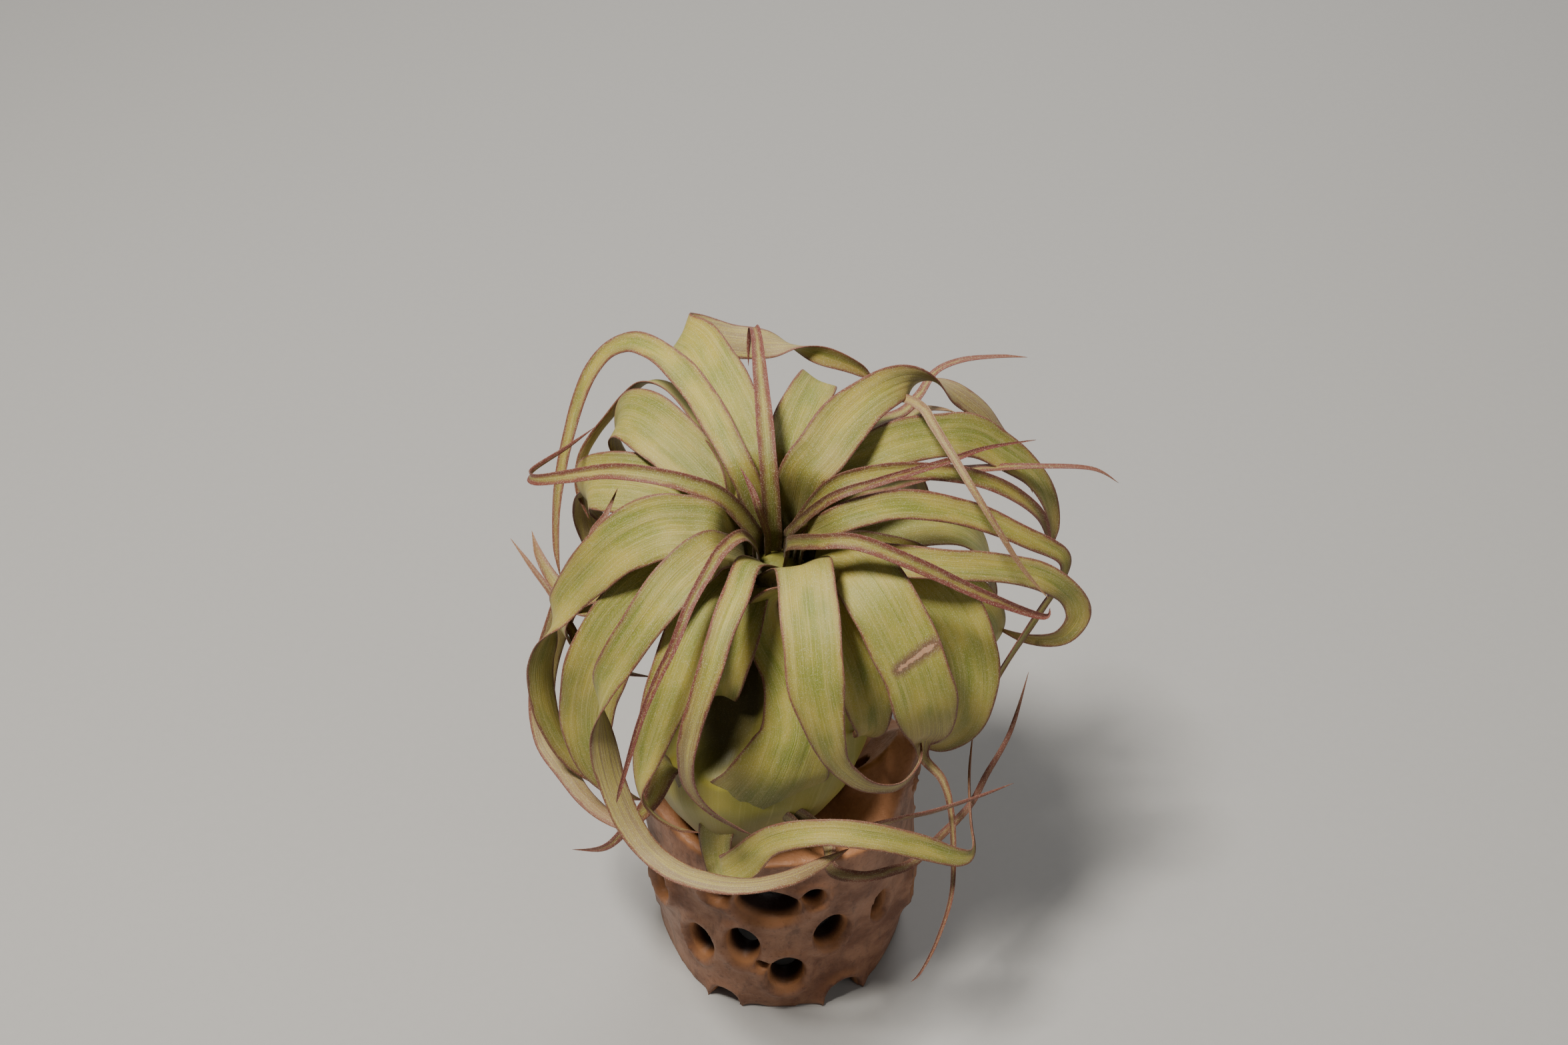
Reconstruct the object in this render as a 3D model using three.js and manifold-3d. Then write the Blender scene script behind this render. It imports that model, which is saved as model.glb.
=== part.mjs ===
// A curly-leaved air plant standing in the top of a hollow piece of hole-riddled wood.
// Millimetres, +Z up, origin below the middle of the whole object, front of the plant towards -Y.
// The rosette is a bulb of fused leaf bases that carries about fifty strap leaves. Most rise in nested
// layers round a narrow funnel, arch outward and curl into a loose ball; the lowest grow out of the
// bulb's side.

import * as THREE from 'three';
import { mergeVertices } from 'three/addons/utils/BufferGeometryUtils.js';
import Module from 'manifold-3d';

const wasm = await Module();
wasm.setup();

// Driving dimensions. The clearances keep a leaf off the bulb and off the leaves inside it.
const CLEARANCE = 0.3;
const CUT_CLEARANCE = 0.45;
const LEAF_THICKNESS = 0.9;
const LEAF_TIP_WIDTH = 0.9;
// The cup is how far a leaf's edges rise over its middle line, as a share of its half width. A neck
// wraps round the funnel, so its cup grows with its width and falls with its distance from the axis.
const NECK_WRAP = 0.24;
const ROOT_CUP = 0.46;
const BLADE_CUP = 0.14;
const SHEATH_CUP = 0.24;
const CHANNEL_CUP = 0.4;
// A leaf row is kept at least once in this much turn of the leaf
const STEPS_PER_STATION = 3;
const ROW_TURN = THREE.MathUtils.degToRad(18.5);
const MOST_ROW_TURN = THREE.MathUtils.degToRad(27);

// The funnel: its youngest layer's radius, the layers' pitch, and how far below the mouth each layer
// starts to flare
const FUNNEL_RADIUS = 4;
const LAYER_PITCH = 1.45;
const FIRST_FLARE_DEPTH = 2;
const LAYER_DROP = 1.1;
const OUTER_LAYER_DROP = 0.06;
const FLARE_LEAN = 0.8;
const NECK_WIDTH_PER_RADIUS = 1.6;
const MOST_NECK_WIDTH = 18;
// A leaf's root starts this far down inside the bulb's skin, where the cut frees it
const NECK_SINK = 4;
const NECK_TUCK = 0.5;
const ROOT_SINK = 2;
const ROOT_LIFT = 1.2;

// The wood's axis stands this far from the origin, which lies below the middle of the whole box
const CENTRING = new THREE.Vector3(-9.4765, -11.304, 0);

// The funnel's mouth, the lean of its axis towards the front, and the bulb below it
const MOUTH = new THREE.Vector3(-1.5, 6, 190);
const MOUTH_LEAN = THREE.MathUtils.degToRad(25);
const BULB_FOOT = new THREE.Vector3(-13, -22, 75);
const BULB_BEND = 34;
const BULB_SIDES = 20;
const BULB_WIDEST_DEPTH = 91;
// Depth below the mouth along the bulb's axis, and the bulb's radius there
const BULB_PROFILE = [
  [19, 2], [21, 5], [25, 9], [32, 13.5], [41, 18], [52, 24], [66, 31],
  [80, 36.5], [91, 37.5], [101, 34], [109, 27], [116, 17], [121, 8],
];

// The leaves are laid out as seen from the front and above, from this distance and height angle:
// a station is [right, up, near, width, facing], in mm from the mouth and degrees. A facing of 0
// turns the leaf's upper side to that viewpoint, and 90 stands it on edge.
const VIEW_DISTANCE = 600;
const VIEW_HEIGHT_ANGLE = THREE.MathUtils.degToRad(45);
const RIGHT = new THREE.Vector3(1, 0, 0);
const UP = new THREE.Vector3(0, Math.sin(VIEW_HEIGHT_ANGLE), Math.cos(VIEW_HEIGHT_ANGLE));
const NEAR = new THREE.Vector3(0, -Math.cos(VIEW_HEIGHT_ANGLE), Math.sin(VIEW_HEIGHT_ANGLE));
// A leaf that runs nearly along the line of sight there follows its neighbours' facings instead
const LEAST_FACED = 0.6;

// Each leaf has its layer, counted outward from the youngest, the direction in which it leaves the
// funnel, in degrees anticlockwise from the right, and its stations. A leaf with a root depth grows
// out of the bulb's side that far below the mouth.
const LEAVES = [
  { name: 'leaf_right_red', layer: 0, aim: -4, cup: CHANNEL_CUP, stations: [
    [14, 0, 17, 6, 0], [25.6, -0.4, 21, 6, 0], [44, -7.6, 20, 5.5, 0], [62.4, -16.2, 13, 4.5],
    [79.6, -22.4, 4, 2.5], [82.4, -20, 3, 1]] },
  { name: 'leaf_crossing_red', layer: 1, aim: 42, cup: CHANNEL_CUP, stations: [
    [16.8, 13, 17, 4, 0], [31.2, 18, 18, 3.5, 0], [51.2, 24, 13, 2.6], [63.2, 28, 8, 1.6],
    [78.2, 30.4, 0, 0.9]] },
  { name: 'leaf_heart_tip', layer: 0, aim: 125, cup: CHANNEL_CUP, stations: [
    [-5.2, 10, 8, 3], [-7.2, 15.6, 9, 2.4], [-10.6, 22.4, 8, 0.9]] },
  { name: 'leaf_front_left_red', layer: 1, aim: -170, cup: CHANNEL_CUP, stations: [
    [-10.2, 1.6, 13, 5, 0], [-15.8, -2.4, 18, 5, 0], [-20.6, -9.8, 22, 4.6, 0],
    [-25.6, -19, 25, 4, 0], [-30.4, -31.2, 26, 3.6, 0], [-35.2, -41, 24, 3.1, 0],
    [-40.2, -53.2, 20, 2.5, 0], [-43.8, -65, 14, 2], [-46.4, -74, 9, 1.5], [-47.6, -78.4, 6, 0.9]] },
  { name: 'leaf_back_channel', layer: 1, aim: 97, cup: CHANNEL_CUP, stations: [
    [-2, 22.4, 6, 7, 0], [-3.4, 38.4, 0, 6.5, 0], [-4.6, 50.4, -8, 5.5, 0], [-5.6, 60.4, -17, 4.5, 0],
    [-6.6, 63.6, -21, 3.6], [-7.8, 59.4, -26, 2], [-8.2, 52.4, -29, 1]] },
  { name: 'leaf_front_narrow', layer: 2, aim: -112, stations: [
    [-8, -6.8, 12, 8, 0], [-11.4, -15.2, 20, 8.5, 0], [-15.6, -25.6, 26, 8, 0],
    [-19.4, -38.2, 27, 7.5, 0], [-23, -49.2, 24, 7, 0], [-25.4, -57.2, 20, 6.5, 0],
    [-26.6, -65.6, 14, 6, 25], [-25.4, -73.6, 6, 5], [-19.4, -80.8, 0, 3.4], [-11.2, -86, -6, 2],
    [-7.2, -88, -8, 1]] },
  { name: 'leaf_left_channel', layer: 2, aim: 150, cup: CHANNEL_CUP, stations: [
    [-15.8, 13.2, 9, 7, 0], [-25.6, 17.2, 12, 7, 0], [-37.8, 20, 12, 6.5, 0], [-50, 21, 8, 6, 0],
    [-62.2, 19.4, 1, 5, 0], [-71.6, 18.4, -6, 4.4], [-72.6, 20.8, -12, 3.5], [-62.2, 27.8, -19, 2.4],
    [-54.2, 34, -22, 1]] },
  { name: 'leaf_right_channel', layer: 2, aim: 34, cup: CHANNEL_CUP, stations: [
    [17.4, 16.4, 12, 7, 0], [31.2, 20.4, 13, 7, 0], [45.4, 21, 9, 6.8, 0], [58.4, 19.4, 3, 6.6, 0],
    [69.4, 15.2, -5, 6], [78, 8.8, -14, 5], [81, 2.4, -22, 3.6], [81.8, -3.6, -28, 1.6]] },
  { name: 'leaf_right_arching', layer: 3, aim: 16, stations: [
    [17.4, 5.8, 14, 8.5, 0], [27.4, 9.4, 16, 9, 0], [40.8, 11.2, 13, 9, 0], [59.4, 7.8, 6, 8, 0],
    [75.4, 1, -3, 6.5, 0], [86, -4.6, -12, 5.5], [85.4, -11.6, -18, 5], [79.4, -20.6, -23, 4.8],
    [69.4, -35.6, -28, 4.2], [61, -50, -33, 3], [54.6, -61.8, -38, 1.2]] },
  { name: 'leaf_back_left_arching', layer: 3, aim: 112, stations: [
    [-10.6, 22.4, 4, 8.5, 0], [-17.4, 35.2, -2, 9.5, 0], [-24, 45.8, -10, 9.5, 0],
    [-31.6, 53.8, -18, 9, 20], [-38, 58, -25, 8], [-43.6, 59.4, -30, 7], [-50, 57, -35, 6],
    [-55.2, 50.8, -39, 5.5], [-59, 42.2, -42, 5], [-61.6, 33, -45, 4.5], [-64, 22.4, -48, 4],
    [-65.6, 10.4, -50, 3.2], [-65.8, -2, -52, 2.2], [-64.6, -11.6, -54, 1]] },
  { name: 'leaf_front_strap', layer: 4, aim: -74, stations: [
    [8, -7.4, 15, 17], [9.2, -10.6, 21, 17.5, 0], [10, -18, 24.5, 17.5, 0],
    [11.2, -29.6, 28, 17.5, 0], [12.2, -42, 27, 17, 0], [14.2, -53, 22.5, 13.5, 0],
    [16.6, -61.6, 16, 9.5], [19.8, -67.6, 9, 7], [27.6, -73.2, 0, 5.5], [36.8, -73.2, -7, 4.4],
    [42.8, -66.6, -13, 3], [43.4, -58.4, -19, 1.2]] },
  { name: 'leaf_front_left_strap', layer: 4, aim: -158, stations: [
    [-17.5, -2.6, 14, 12.5, 0], [-23.2, -5.8, 16, 14.5, 0], [-29.8, -11.6, 18, 14, 0],
    [-36.2, -19.6, 19, 13, 0], [-42.2, -28, 17, 12, 0], [-47.2, -35.6, 13, 11, 0],
    [-51, -42.4, 8, 10.5, 30], [-52.4, -50, 2, 10, 85], [-51.6, -60, -4, 9.8, 140],
    [-49, -72, -12, 9.4, 155], [-44, -84, -16, 9, 155], [-38, -92.5, -16, 8.4, 150],
    [-29.8, -98.8, -12, 7.8, 140], [-19, -102.2, -8, 7.2, 135], [-8, -103, -6, 6.6, 130],
    [3.2, -101, -8, 5.6], [12.2, -97.4, -14, 4.4], [22, -92.4, -22, 2]] },
  { name: 'leaf_back_right_strap', layer: 5, aim: 62, stations: [
    [8, 20, 8, 14, 0], [14, 27, 9, 16.5, 0], [20.4, 35.6, 6, 16, 0], [29, 43.2, 1, 13.5, 0],
    [37.8, 47.8, -6, 11, 20], [45.8, 48.6, -12, 9.5, 85], [54.4, 44.4, -18, 9, 140],
    [62.4, 38.4, -26, 8, 150], [68.4, 30.4, -34, 6.4, 150], [74.4, 22.4, -42, 4],
    [77, 14, -48, 1.4]] },
  { name: 'leaf_left_broad', layer: 5, aim: 176, stations: [
    [-18, 4, 11, 14, 0], [-25, 5, 13, 17.5, 0], [-34, 4.6, 13, 20, 0], [-41.6, 1.8, 11, 19, 0],
    [-48.2, -2.2, 8, 17.5, 0], [-55, -8.6, 3, 15, 0], [-60.4, -14.6, -3, 13, 10],
    [-64.4, -20.6, -9, 11.5, 35], [-66.8, -25.6, -14, 10.5, 80], [-68.8, -31.6, -19, 10, 125],
    [-70.2, -38, -25, 10, 140], [-69.8, -45.6, -32, 9.5, 145], [-68, -53.2, -38, 9, 145],
    [-64.6, -60.4, -43, 8, 145], [-59, -66.8, -48, 7], [-51.6, -72, -52, 5], [-44, -75, -55, 2]] },
  { name: 'leaf_right_scarred', layer: 6, aim: -27, stations: [
    [20, -5, 6, 16, 0], [26.4, -10, 11, 19, 0], [32.4, -18.6, 14, 21, 0], [38, -29.6, 12, 21, 0],
    [42.4, -40, 8, 20.5, 0], [45.2, -50, 1, 20], [46, -57, -9, 16], [43.8, -60, -17, 10],
    [44.4, -65.2, -21, 6], [49.8, -71.4, -22.5, 4.4], [52.4, -80.4, -25, 3.6],
    [53.2, -93.8, -31, 3], [52.4, -107.2, -34, 2.5], [48, -120.6, -37, 2],
    [43.4, -129.4, -40, 1.4], [40.4, -132.6, -42, 0.9]] },
  { name: 'leaf_back_broad', layer: 6, aim: 104, stations: [
    [-6.4, 24, 0, 15, 0], [-10, 34.4, -5, 17, 0], [-16.6, 48.4, -14, 17, 0], [-23, 58.6, -26, 15.5, 0],
    [-27.6, 62, -34, 13.5], [-24.6, 62, -41, 13], [-13.6, 60, -45, 12.5, 165],
    [-2.6, 59, -47, 10, 160], [6.4, 58, -48, 8.4, 90], [15.4, 55.2, -49, 7, 30],
    [24.4, 51.6, -51, 5], [30, 47, -54, 1.4]] },
  { name: 'leaf_back_right_broad', layer: 6, aim: 40, stations: [
    [17.6, 19.6, -1, 12, 0], [26, 24.6, -1, 13.5, 0], [37.4, 29.6, -3, 14, 0], [49.4, 31.6, -8, 14, 0],
    [59.4, 31.4, -14, 13.5, 0], [68.4, 26.4, -21, 11.5], [76.4, 20.4, -28, 9], [81, 13.4, -35, 7.4],
    [82.8, 4.4, -42, 5.4], [81.8, -4.6, -48, 2]] },
  { name: 'leaf_dry_diagonal', layer: 7, aim: 54, cup: CHANNEL_CUP, stations: [
    [18, 30, -5, 5.5], [28, 41, -10, 5.5], [37.4, 42.6, -8, 5.2], [44, 40, 1, 4.8], [48, 34, 8, 4.5],
    [54, 24.4, 15, 4, 0], [59.6, 15.2, 18, 3.5, 0], [66.8, 3.6, 17, 2.9, 0], [74, -7.8, 13, 2.2],
    [82.2, -17.4, 8, 0.9]] },
  { name: 'leaf_right_loop', layer: 7, aim: -8, stations: [
    [22, -3.6, 1, 10, 0], [35.4, -5.6, 3, 10, 0], [51.8, -7, 3, 9.5, 0], [66.8, -8, -3, 9.2, 0],
    [79.4, -10.6, -10, 9, 0], [88.4, -16, -18, 8.6, 30], [90.6, -22.6, -25, 8], [85.4, -28.6, -31, 7],
    [75.4, -29, -34, 5], [64.6, -25.4, -37, 2.4]] },
  { name: 'leaf_right_broad', layer: 8, aim: -10, stations: [
    [27, -3.6, -7, 14, 0], [41.4, -9.6, -7, 18, 0], [52.4, -20.6, -9, 19, 0],
    [58.4, -33.6, -14, 17.5, 0], [59.4, -46.6, -21, 14.5], [56.4, -56, -30, 11],
    [49.4, -61, -37, 7], [40, -61, -42, 2.5]] },
  { name: 'leaf_front_left_green', layer: 6, aim: -136, stations: [
    [-14, -12, 8, 12, 0], [-20.6, -19, 12, 15, 0], [-26.6, -30.6, 13, 15.5, 0],
    [-31.4, -43.6, 11, 14.5, 0], [-35.6, -55.6, 6, 12, 0], [-38.6, -65.6, 0, 9, 20],
    [-40.2, -74.8, -6, 6.6, 70], [-37.6, -80.6, -10, 4.6], [-30.6, -85.6, -16, 3],
    [-22.6, -87.6, -22, 1.4]] },
  { name: 'leaf_back_left_broad', layer: 7, aim: 138, stations: [
    [-18, 16, -11, 15, 0], [-26, 25, -14, 18, 0], [-33.4, 31.6, -17, 19.5, 0], [-39.6, 36.2, -21, 19, 0],
    [-45, 37.6, -27, 17], [-47.4, 34.4, -34, 14], [-46.6, 28.4, -40, 10], [-42, 22, -44, 4]] },
  { name: 'leaf_left_pale', layer: 8, aim: 160, stations: [
    [-18, 8, -12, 14, 0], [-26.6, 12.4, -18, 18, 0], [-38.6, 16.4, -19, 20, 0],
    [-49.6, 17.6, -23, 19, 0], [-55.8, 16.6, -29, 17], [-56, 12, -35, 13], [-51, 7, -39, 8],
    [-44, 3, -42, 3]] },
  { name: 'leaf_left_far', layer: 9, aim: 134, stations: [
    [-13, 20, -10, 9], [-20.6, 33, -19, 9], [-29.8, 44, -28, 8.5], [-37.8, 47.4, -33, 8],
    [-43.8, 43.8, -38, 7.5], [-50, 36.4, -42, 7], [-54.2, 31, -45, 6.4], [-57.6, 24.4, -48, 5.4],
    [-58.6, 15.4, -52, 4], [-56, 6, -55, 1.4]] },
  { name: 'leaf_back_rolled', layer: 8, aim: 80, stations: [
    [3, 24, -9, 14, 0], [6, 34, -14, 15.5, 0], [9.6, 42.6, -21, 14.5, 0], [12.6, 47.4, -29, 12.5],
    [11.6, 46, -38, 10], [7, 41, -44, 6.4], [2, 36, -48, 2]] },
  { name: 'leaf_back_right_purple_tip', layer: 8, aim: 52, stations: [
    [17, 25, -12, 6], [28, 34, -18, 5.4], [38, 38.4, -23, 4.2], [43, 43.6, -26, 3.2],
    [48, 50.6, -29, 2.6], [56, 54, -31, 2.2], [66.8, 55, -34, 1.6], [75.4, 54.8, -38, 0.9]] },
  { name: 'leaf_far_right_tip', layer: 8, aim: 24, stations: [
    [22, 13, -3, 5.5], [36, 17, -8, 5], [50, 20.4, -14, 4.2], [61.8, 21.6, -18, 3.4],
    [77.6, 22.2, -21, 2.6], [94.6, 21.4, -26, 1.8], [102.8, 17.2, -30, 0.9]] },
  { name: 'leaf_back_brown_tip', layer: 10, aim: 44, stations: [
    [18, 20, -16, 10], [28, 28, -22, 9], [37, 34.4, -29, 6.5], [44, 38.8, -34, 4],
    [50, 39, -37, 2.4], [54.6, 38, -40, 1]] },
  { name: 'leaf_front_left_dark', layer: 9, aim: -160, stations: [
    [-22, -9, 0, 16, 0], [-36, -15, 1, 20, 0], [-48, -27, -3, 20.5, 0], [-54.4, -41, -11, 20, 0],
    [-56.6, -54, -21, 17], [-54, -66, -29, 13], [-48, -74, -35, 8], [-40, -78, -39, 3]] },
  { name: 'leaf_left_small_tip', layer: 7, aim: 178, cup: CHANNEL_CUP, stations: [
    [-26, -1, 0, 4.5], [-42, -2, 2, 4], [-51, -1.6, 0, 3.6], [-54.6, 2.2, -2, 3], [-50.6, 8.2, -2, 2.2],
    [-47.2, 16, -3, 0.9]] },
  { name: 'leaf_left_horn', layer: 10, aim: -166, stations: [
    [-31, -14, -13, 10], [-45, -20, -20, 10], [-58, -20, -27, 8], [-65.6, -13.6, -30, 5.4],
    [-70.8, -5.2, -34, 3.2], [-73.2, 2.8, -37, 1]] },
  { name: 'leaf_left_thin_tail', layer: 13, aim: -151, stations: [
    [-31, -19.5, -10, 11], [-42, -34, -22, 11], [-53, -42, -36, 8], [-59, -31.4, -41, 4],
    [-66.6, -17.4, -43, 2.6], [-73, -8.6, -45, 1.8], [-79.6, 0.4, -47, 0.9]] },
  { name: 'leaf_left_outer', layer: 12, aim: 179, stations: [
    [-31, 1.5, -20, 13], [-42, 0, -27, 14], [-57, -10, -42, 12], [-66, -28, -53, 10],
    [-70, -46, -59, 9.4], [-69, -59, -58, 9], [-63.4, -68, -53, 8.4], [-57, -77, -47, 7],
    [-48, -84, -41, 5], [-38, -88, -37, 1.6]] },
  { name: 'leaf_front_sheath', layer: 15, rootDepth: 104, aim: -84, cup: SHEATH_CUP, stations: [
    [1.6, -73, -10.8, 35], [5, -65, -7.2, 29], [7, -58, -6, 25], [6.6, -50, -5, 21],
    [3.6, -39, -4.2, 17], [-2, -28, -2.6, 13.5], [-3, -19, 3, 11.5], [4, -15, 9, 9.5],
    [11, -20, 12, 8], [16, -33, 12, 6], [19, -48, 8, 3.6], [21, -60, 2, 1.4]] },
  { name: 'leaf_front_left_inner', layer: 8, aim: -122, stations: [
    [-7.4, -15, 4, 12, 0], [-11, -25, 6, 14.5, 0], [-14, -35, 3, 14.5, 0], [-16, -43, -4, 12.5],
    [-16, -46, -12, 9.5], [-13, -45, -18, 6], [-10, -42, -22, 2]] },
  { name: 'leaf_front_right_inner', layer: 8, aim: -48, stations: [
    [14.5, -14, 3, 13, 0], [20, -25, 5, 17, 0], [25, -38, 2, 18, 0], [28, -49, -5, 15, 0],
    [28.6, -56, -14, 10], [26, -58, -21, 6], [23, -56, -26, 2]] },
  { name: 'leaf_bottom_front', layer: 19, rootDepth: 112, aim: -112, stations: [
    [-17.5, -95, -40, 12], [-15.5, -100, -34, 12.5, 0], [-9.2, -96.2, -27, 11.5, 0],
    [-3.4, -91, -20, 10, 0], [4.2, -88.4, -13, 9, 0], [16.6, -87.4, -9, 8.6, 0],
    [30, -88.8, -10, 8.6, 0], [43.4, -91.8, -16, 8, 0],
    [55, -95, -24, 6], [59, -92.6, -29, 4.4], [58.2, -83.6, -33, 3], [57.8, -69.6, -37, 2.2],
    [59.6, -53.8, -41, 0.9]] },
  { name: 'leaf_bottom_right_tip', layer: 15, rootDepth: 107, aim: -72, stations: [
    [8, -88, -31, 8], [18, -89, -25, 6.5], [29, -86, -20.5, 4.6], [38, -83.4, -19, 3.2],
    [48, -81.2, -20, 2.6],
    [61.4, -76.8, -21, 1.8], [71.4, -72.8, -24, 0.9]] },
  { name: 'leaf_bottom_right_long_tip', layer: 19, rootDepth: 106, aim: -66, stations: [
    [15, -90, -38, 7], [16.6, -98.6, -32, 5], [25.6, -101, -28, 3.8], [34.6, -99.2, -27, 3.4],
    [41.6, -96.4, -29, 3.1], [48.8, -89.4, -34.5, 2.8], [58.2, -79.6, -39, 2.4],
    [63.2, -70.4, -38.5, 2.1], [70.4, -57.4, -38, 1.6], [75.8, -39.6, -38, 0.9]] },
  { name: 'leaf_bottom_left_dark_tip', layer: 15, rootDepth: 94, aim: -132, stations: [
    [-33, -68, -13, 8.5], [-37, -77.5, -16, 6], [-44, -85.6, -22, 3.6], [-51.2, -92, -29, 2.4],
    [-61, -92.8, -37, 0.9]] },
];

// The leaves that fill the hidden back of the ball, older and lower than those in front of them.
// They follow one arch, turned round the mouth and varied by a seeded draw.
const BACK_RINGS = [
  { layer: 13, count: 5, firstTurn: 22, lastTurn: 142, reach: 76, rise: -10, fall: 64, width: 16 },
  { layer: 16, count: 5, firstTurn: 8, lastTurn: 168, reach: 66, rise: -21, fall: 44, width: 15 },
];
// One arch: share of the reach, share of the way from the rise down the fall, and share of the width
const BACK_ARCH = [
  [0.62, 0, 1], [0.82, 0.06, 1], [0.97, 0.24, 0.92], [1.03, 0.48, 0.76],
  [0.97, 0.74, 0.56], [0.8, 0.94, 0.36], [0.6, 1.02, 0.14],
];
const BACK_REACH_SPREAD = 0.12;
const BACK_FALL_SPREAD = 0.2;
const BACK_SWAY_DEGREES = 14;

// The wood: a hollow, flat-footed tube with a spur at the right and holes of many sizes
const WOOD_HEIGHT = 86;
const WOOD_DEPTH_SHARE = 0.85;
const WOOD_SIDES = 26;
const WOOD_RINGS = 8;
const WOOD_SPUR_HEIGHT = 27;
const WOOD_SPUR_TURN = THREE.MathUtils.degToRad(-13);
const WOOD_SPUR_SPREAD = THREE.MathUtils.degToRad(26);
// Below the spur the upper wall is thick, so the bulb's right side meets solid wood
const WOOD_SHOULDER_TURN = THREE.MathUtils.degToRad(-26);
const WOOD_SHOULDER_SPREAD = THREE.MathUtils.degToRad(42);
// Waves that make the rim and the outside uneven: height, number round the wood, and phase or the
// height over which the wave turns by one radian
const WOOD_RIM_WAVE = { height: 2.5, count: 4, phase: 1 };
const WOOD_LUMPS = [
  { height: 1.3, count: 3, climb: 17 },
  { height: 0.9, count: 5, climb: -11 },
];
// Height up the wood and its outer radius there, and the wall's thickness: a shoulder in the upper
// hollow holds the bulb
const WOOD_PROFILE = [[0, 43.5], [14, 44], [34, 44.5], [60, 45.5], [80, 46], [120, 46.5]];
const WOOD_WALL_PROFILE = [[0, 12], [40, 10], [60, 14], [76, 26], [84, 20], [92, 9], [120, 7]];
const WOOD_SHOULDER_PROFILE = [[58, 0], [76, 8], [84, 14], [96, 14], [106, 5], [114, 1]];
const WOOD_HOLE_SIDES = 8;
// A hole's profile through the wall: share of its half size, and distance out from the wood's surface
const WOOD_HOLE_PROFILE = [[0, -24], [0.9, -24], [1, -3], [1.7, 4], [0, 4]];
// Each hole: its turn round the wood in degrees, with the front at -90, its height, half width and
// half height
const WOOD_HOLES = [
  [-96, 61, 8.6, 6.4], [-118, 65, 3.6, 4.6], [-107, 38, 4.6, 7], [-87, 22, 4.8, 7.4],
  [-67, 42, 4.7, 7.6], [-42, 46, 3, 6], [-128, 31, 4.2, 7], [-98, 28, 1.9, 2.4],
  [-76, 67, 3, 4], [-18, 98, 2.8, 3.6], [-150, 52, 4.6, 6.4],
  [178, 26, 5, 7], [-12, 38, 5, 7], [20, 56, 5.4, 7.4], [48, 29, 5, 7],
  [72, 58, 5.4, 7.6], [96, 28, 5, 7], [118, 56, 5.4, 7.6], [146, 34, 5.4, 7.4], [160, 64, 4, 5.2],
  [-116, 1, 3.8, 5], [-60, 2, 5.2, 6],
];

const LEAF_GREEN = 0xaab36a;
const LEAF_RED = 0x9a6a55;
const BULB_GREEN = 0xb4b684;
const WOOD_BROWN = 0x9a6a45;

// Geometry helpers

const MERGE_DISTANCE = 1e-4;

function mattMaterial(colour) {
  return new THREE.MeshStandardMaterial({ color: colour, roughness: 0.75, metalness: 0 });
}

// A closed solid from rings of points, with flat ends, as plain triangles
function loft(rings, capStart, capEnd, flipped = () => false) {
  const count = rings[0].length;
  const positions = rings.flat().flatMap((point) => point.toArray());
  const triangles = [...capStart];
  for (let row = 0; row < rings.length - 1; row += 1) {
    for (let side = 0; side < count; side += 1) {
      const next = (side + 1) % count;
      const a = row * count + side;
      const b = row * count + next;
      const c = (row + 1) * count + next;
      const d = (row + 1) * count + side;
      triangles.push(...(flipped(side) ? [a, b, d, b, c, d] : [a, b, c, a, c, d]));
    }
  }
  const last = (rings.length - 1) * count;
  triangles.push(...capEnd.map((index) => last + index));
  const geometry = new THREE.BufferGeometry();
  geometry.setAttribute('position', new THREE.Float32BufferAttribute(positions, 3));
  geometry.setIndex(triangles);
  return geometry;
}

function solidOf(geometry) {
  const bare = geometry.clone();
  bare.deleteAttribute('normal');
  bare.deleteAttribute('uv');
  const merged = mergeVertices(bare, MERGE_DISTANCE);
  return new wasm.Manifold(new wasm.Mesh({
    numProp: 3,
    vertProperties: new Float32Array(merged.attributes.position.array),
    triVerts: new Uint32Array(merged.index.array),
  }));
}

function largestBody(solid) {
  const bodies = solid.decompose();
  return bodies.reduce((best, body) => (body.volume() > best.volume() ? body : best));
}

function geometryOf(solid) {
  const mesh = solid.getMesh();
  const geometry = new THREE.BufferGeometry();
  geometry.setAttribute('position', new THREE.Float32BufferAttribute(mesh.vertProperties, 3));
  geometry.setIndex(Array.from(mesh.triVerts));
  geometry.computeVertexNormals();
  return geometry;
}

// A smooth value through a row of numbers, by a Catmull-Rom cubic
function cubicThrough(values, place) {
  const last = values.length - 1;
  const index = Math.min(Math.floor(place), last - 1);
  const t = place - index;
  const before = values[Math.max(index - 1, 0)];
  const here = values[index];
  const next = values[index + 1];
  const after = values[Math.min(index + 2, last)];
  return here + 0.5 * t * (next - before
    + t * (2 * before - 5 * here + 4 * next - after
    + t * (3 * (here - next) + after - before)));
}

function interpolate(table, value) {
  const index = Math.max(table.findIndex((row) => row[0] >= value), 1);
  const [x0, y0] = table[index - 1];
  const [x1, y1] = table[index];
  return y0 + (y1 - y0) * THREE.MathUtils.clamp((value - x0) / (x1 - x0), 0, 1);
}

// The funnel and the bulb

const MOUTH_AXIS = new THREE.Vector3(0, -Math.sin(MOUTH_LEAN), Math.cos(MOUTH_LEAN));
const MOUTH_BACK = new THREE.Vector3().crossVectors(MOUTH_AXIS, RIGHT);
const BULB_LENGTH = BULB_PROFILE.at(-1)[0];
const bulbCurve = new THREE.QuadraticBezierCurve3(
  MOUTH, MOUTH.clone().addScaledVector(MOUTH_AXIS, -BULB_BEND), BULB_FOOT);

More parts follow.
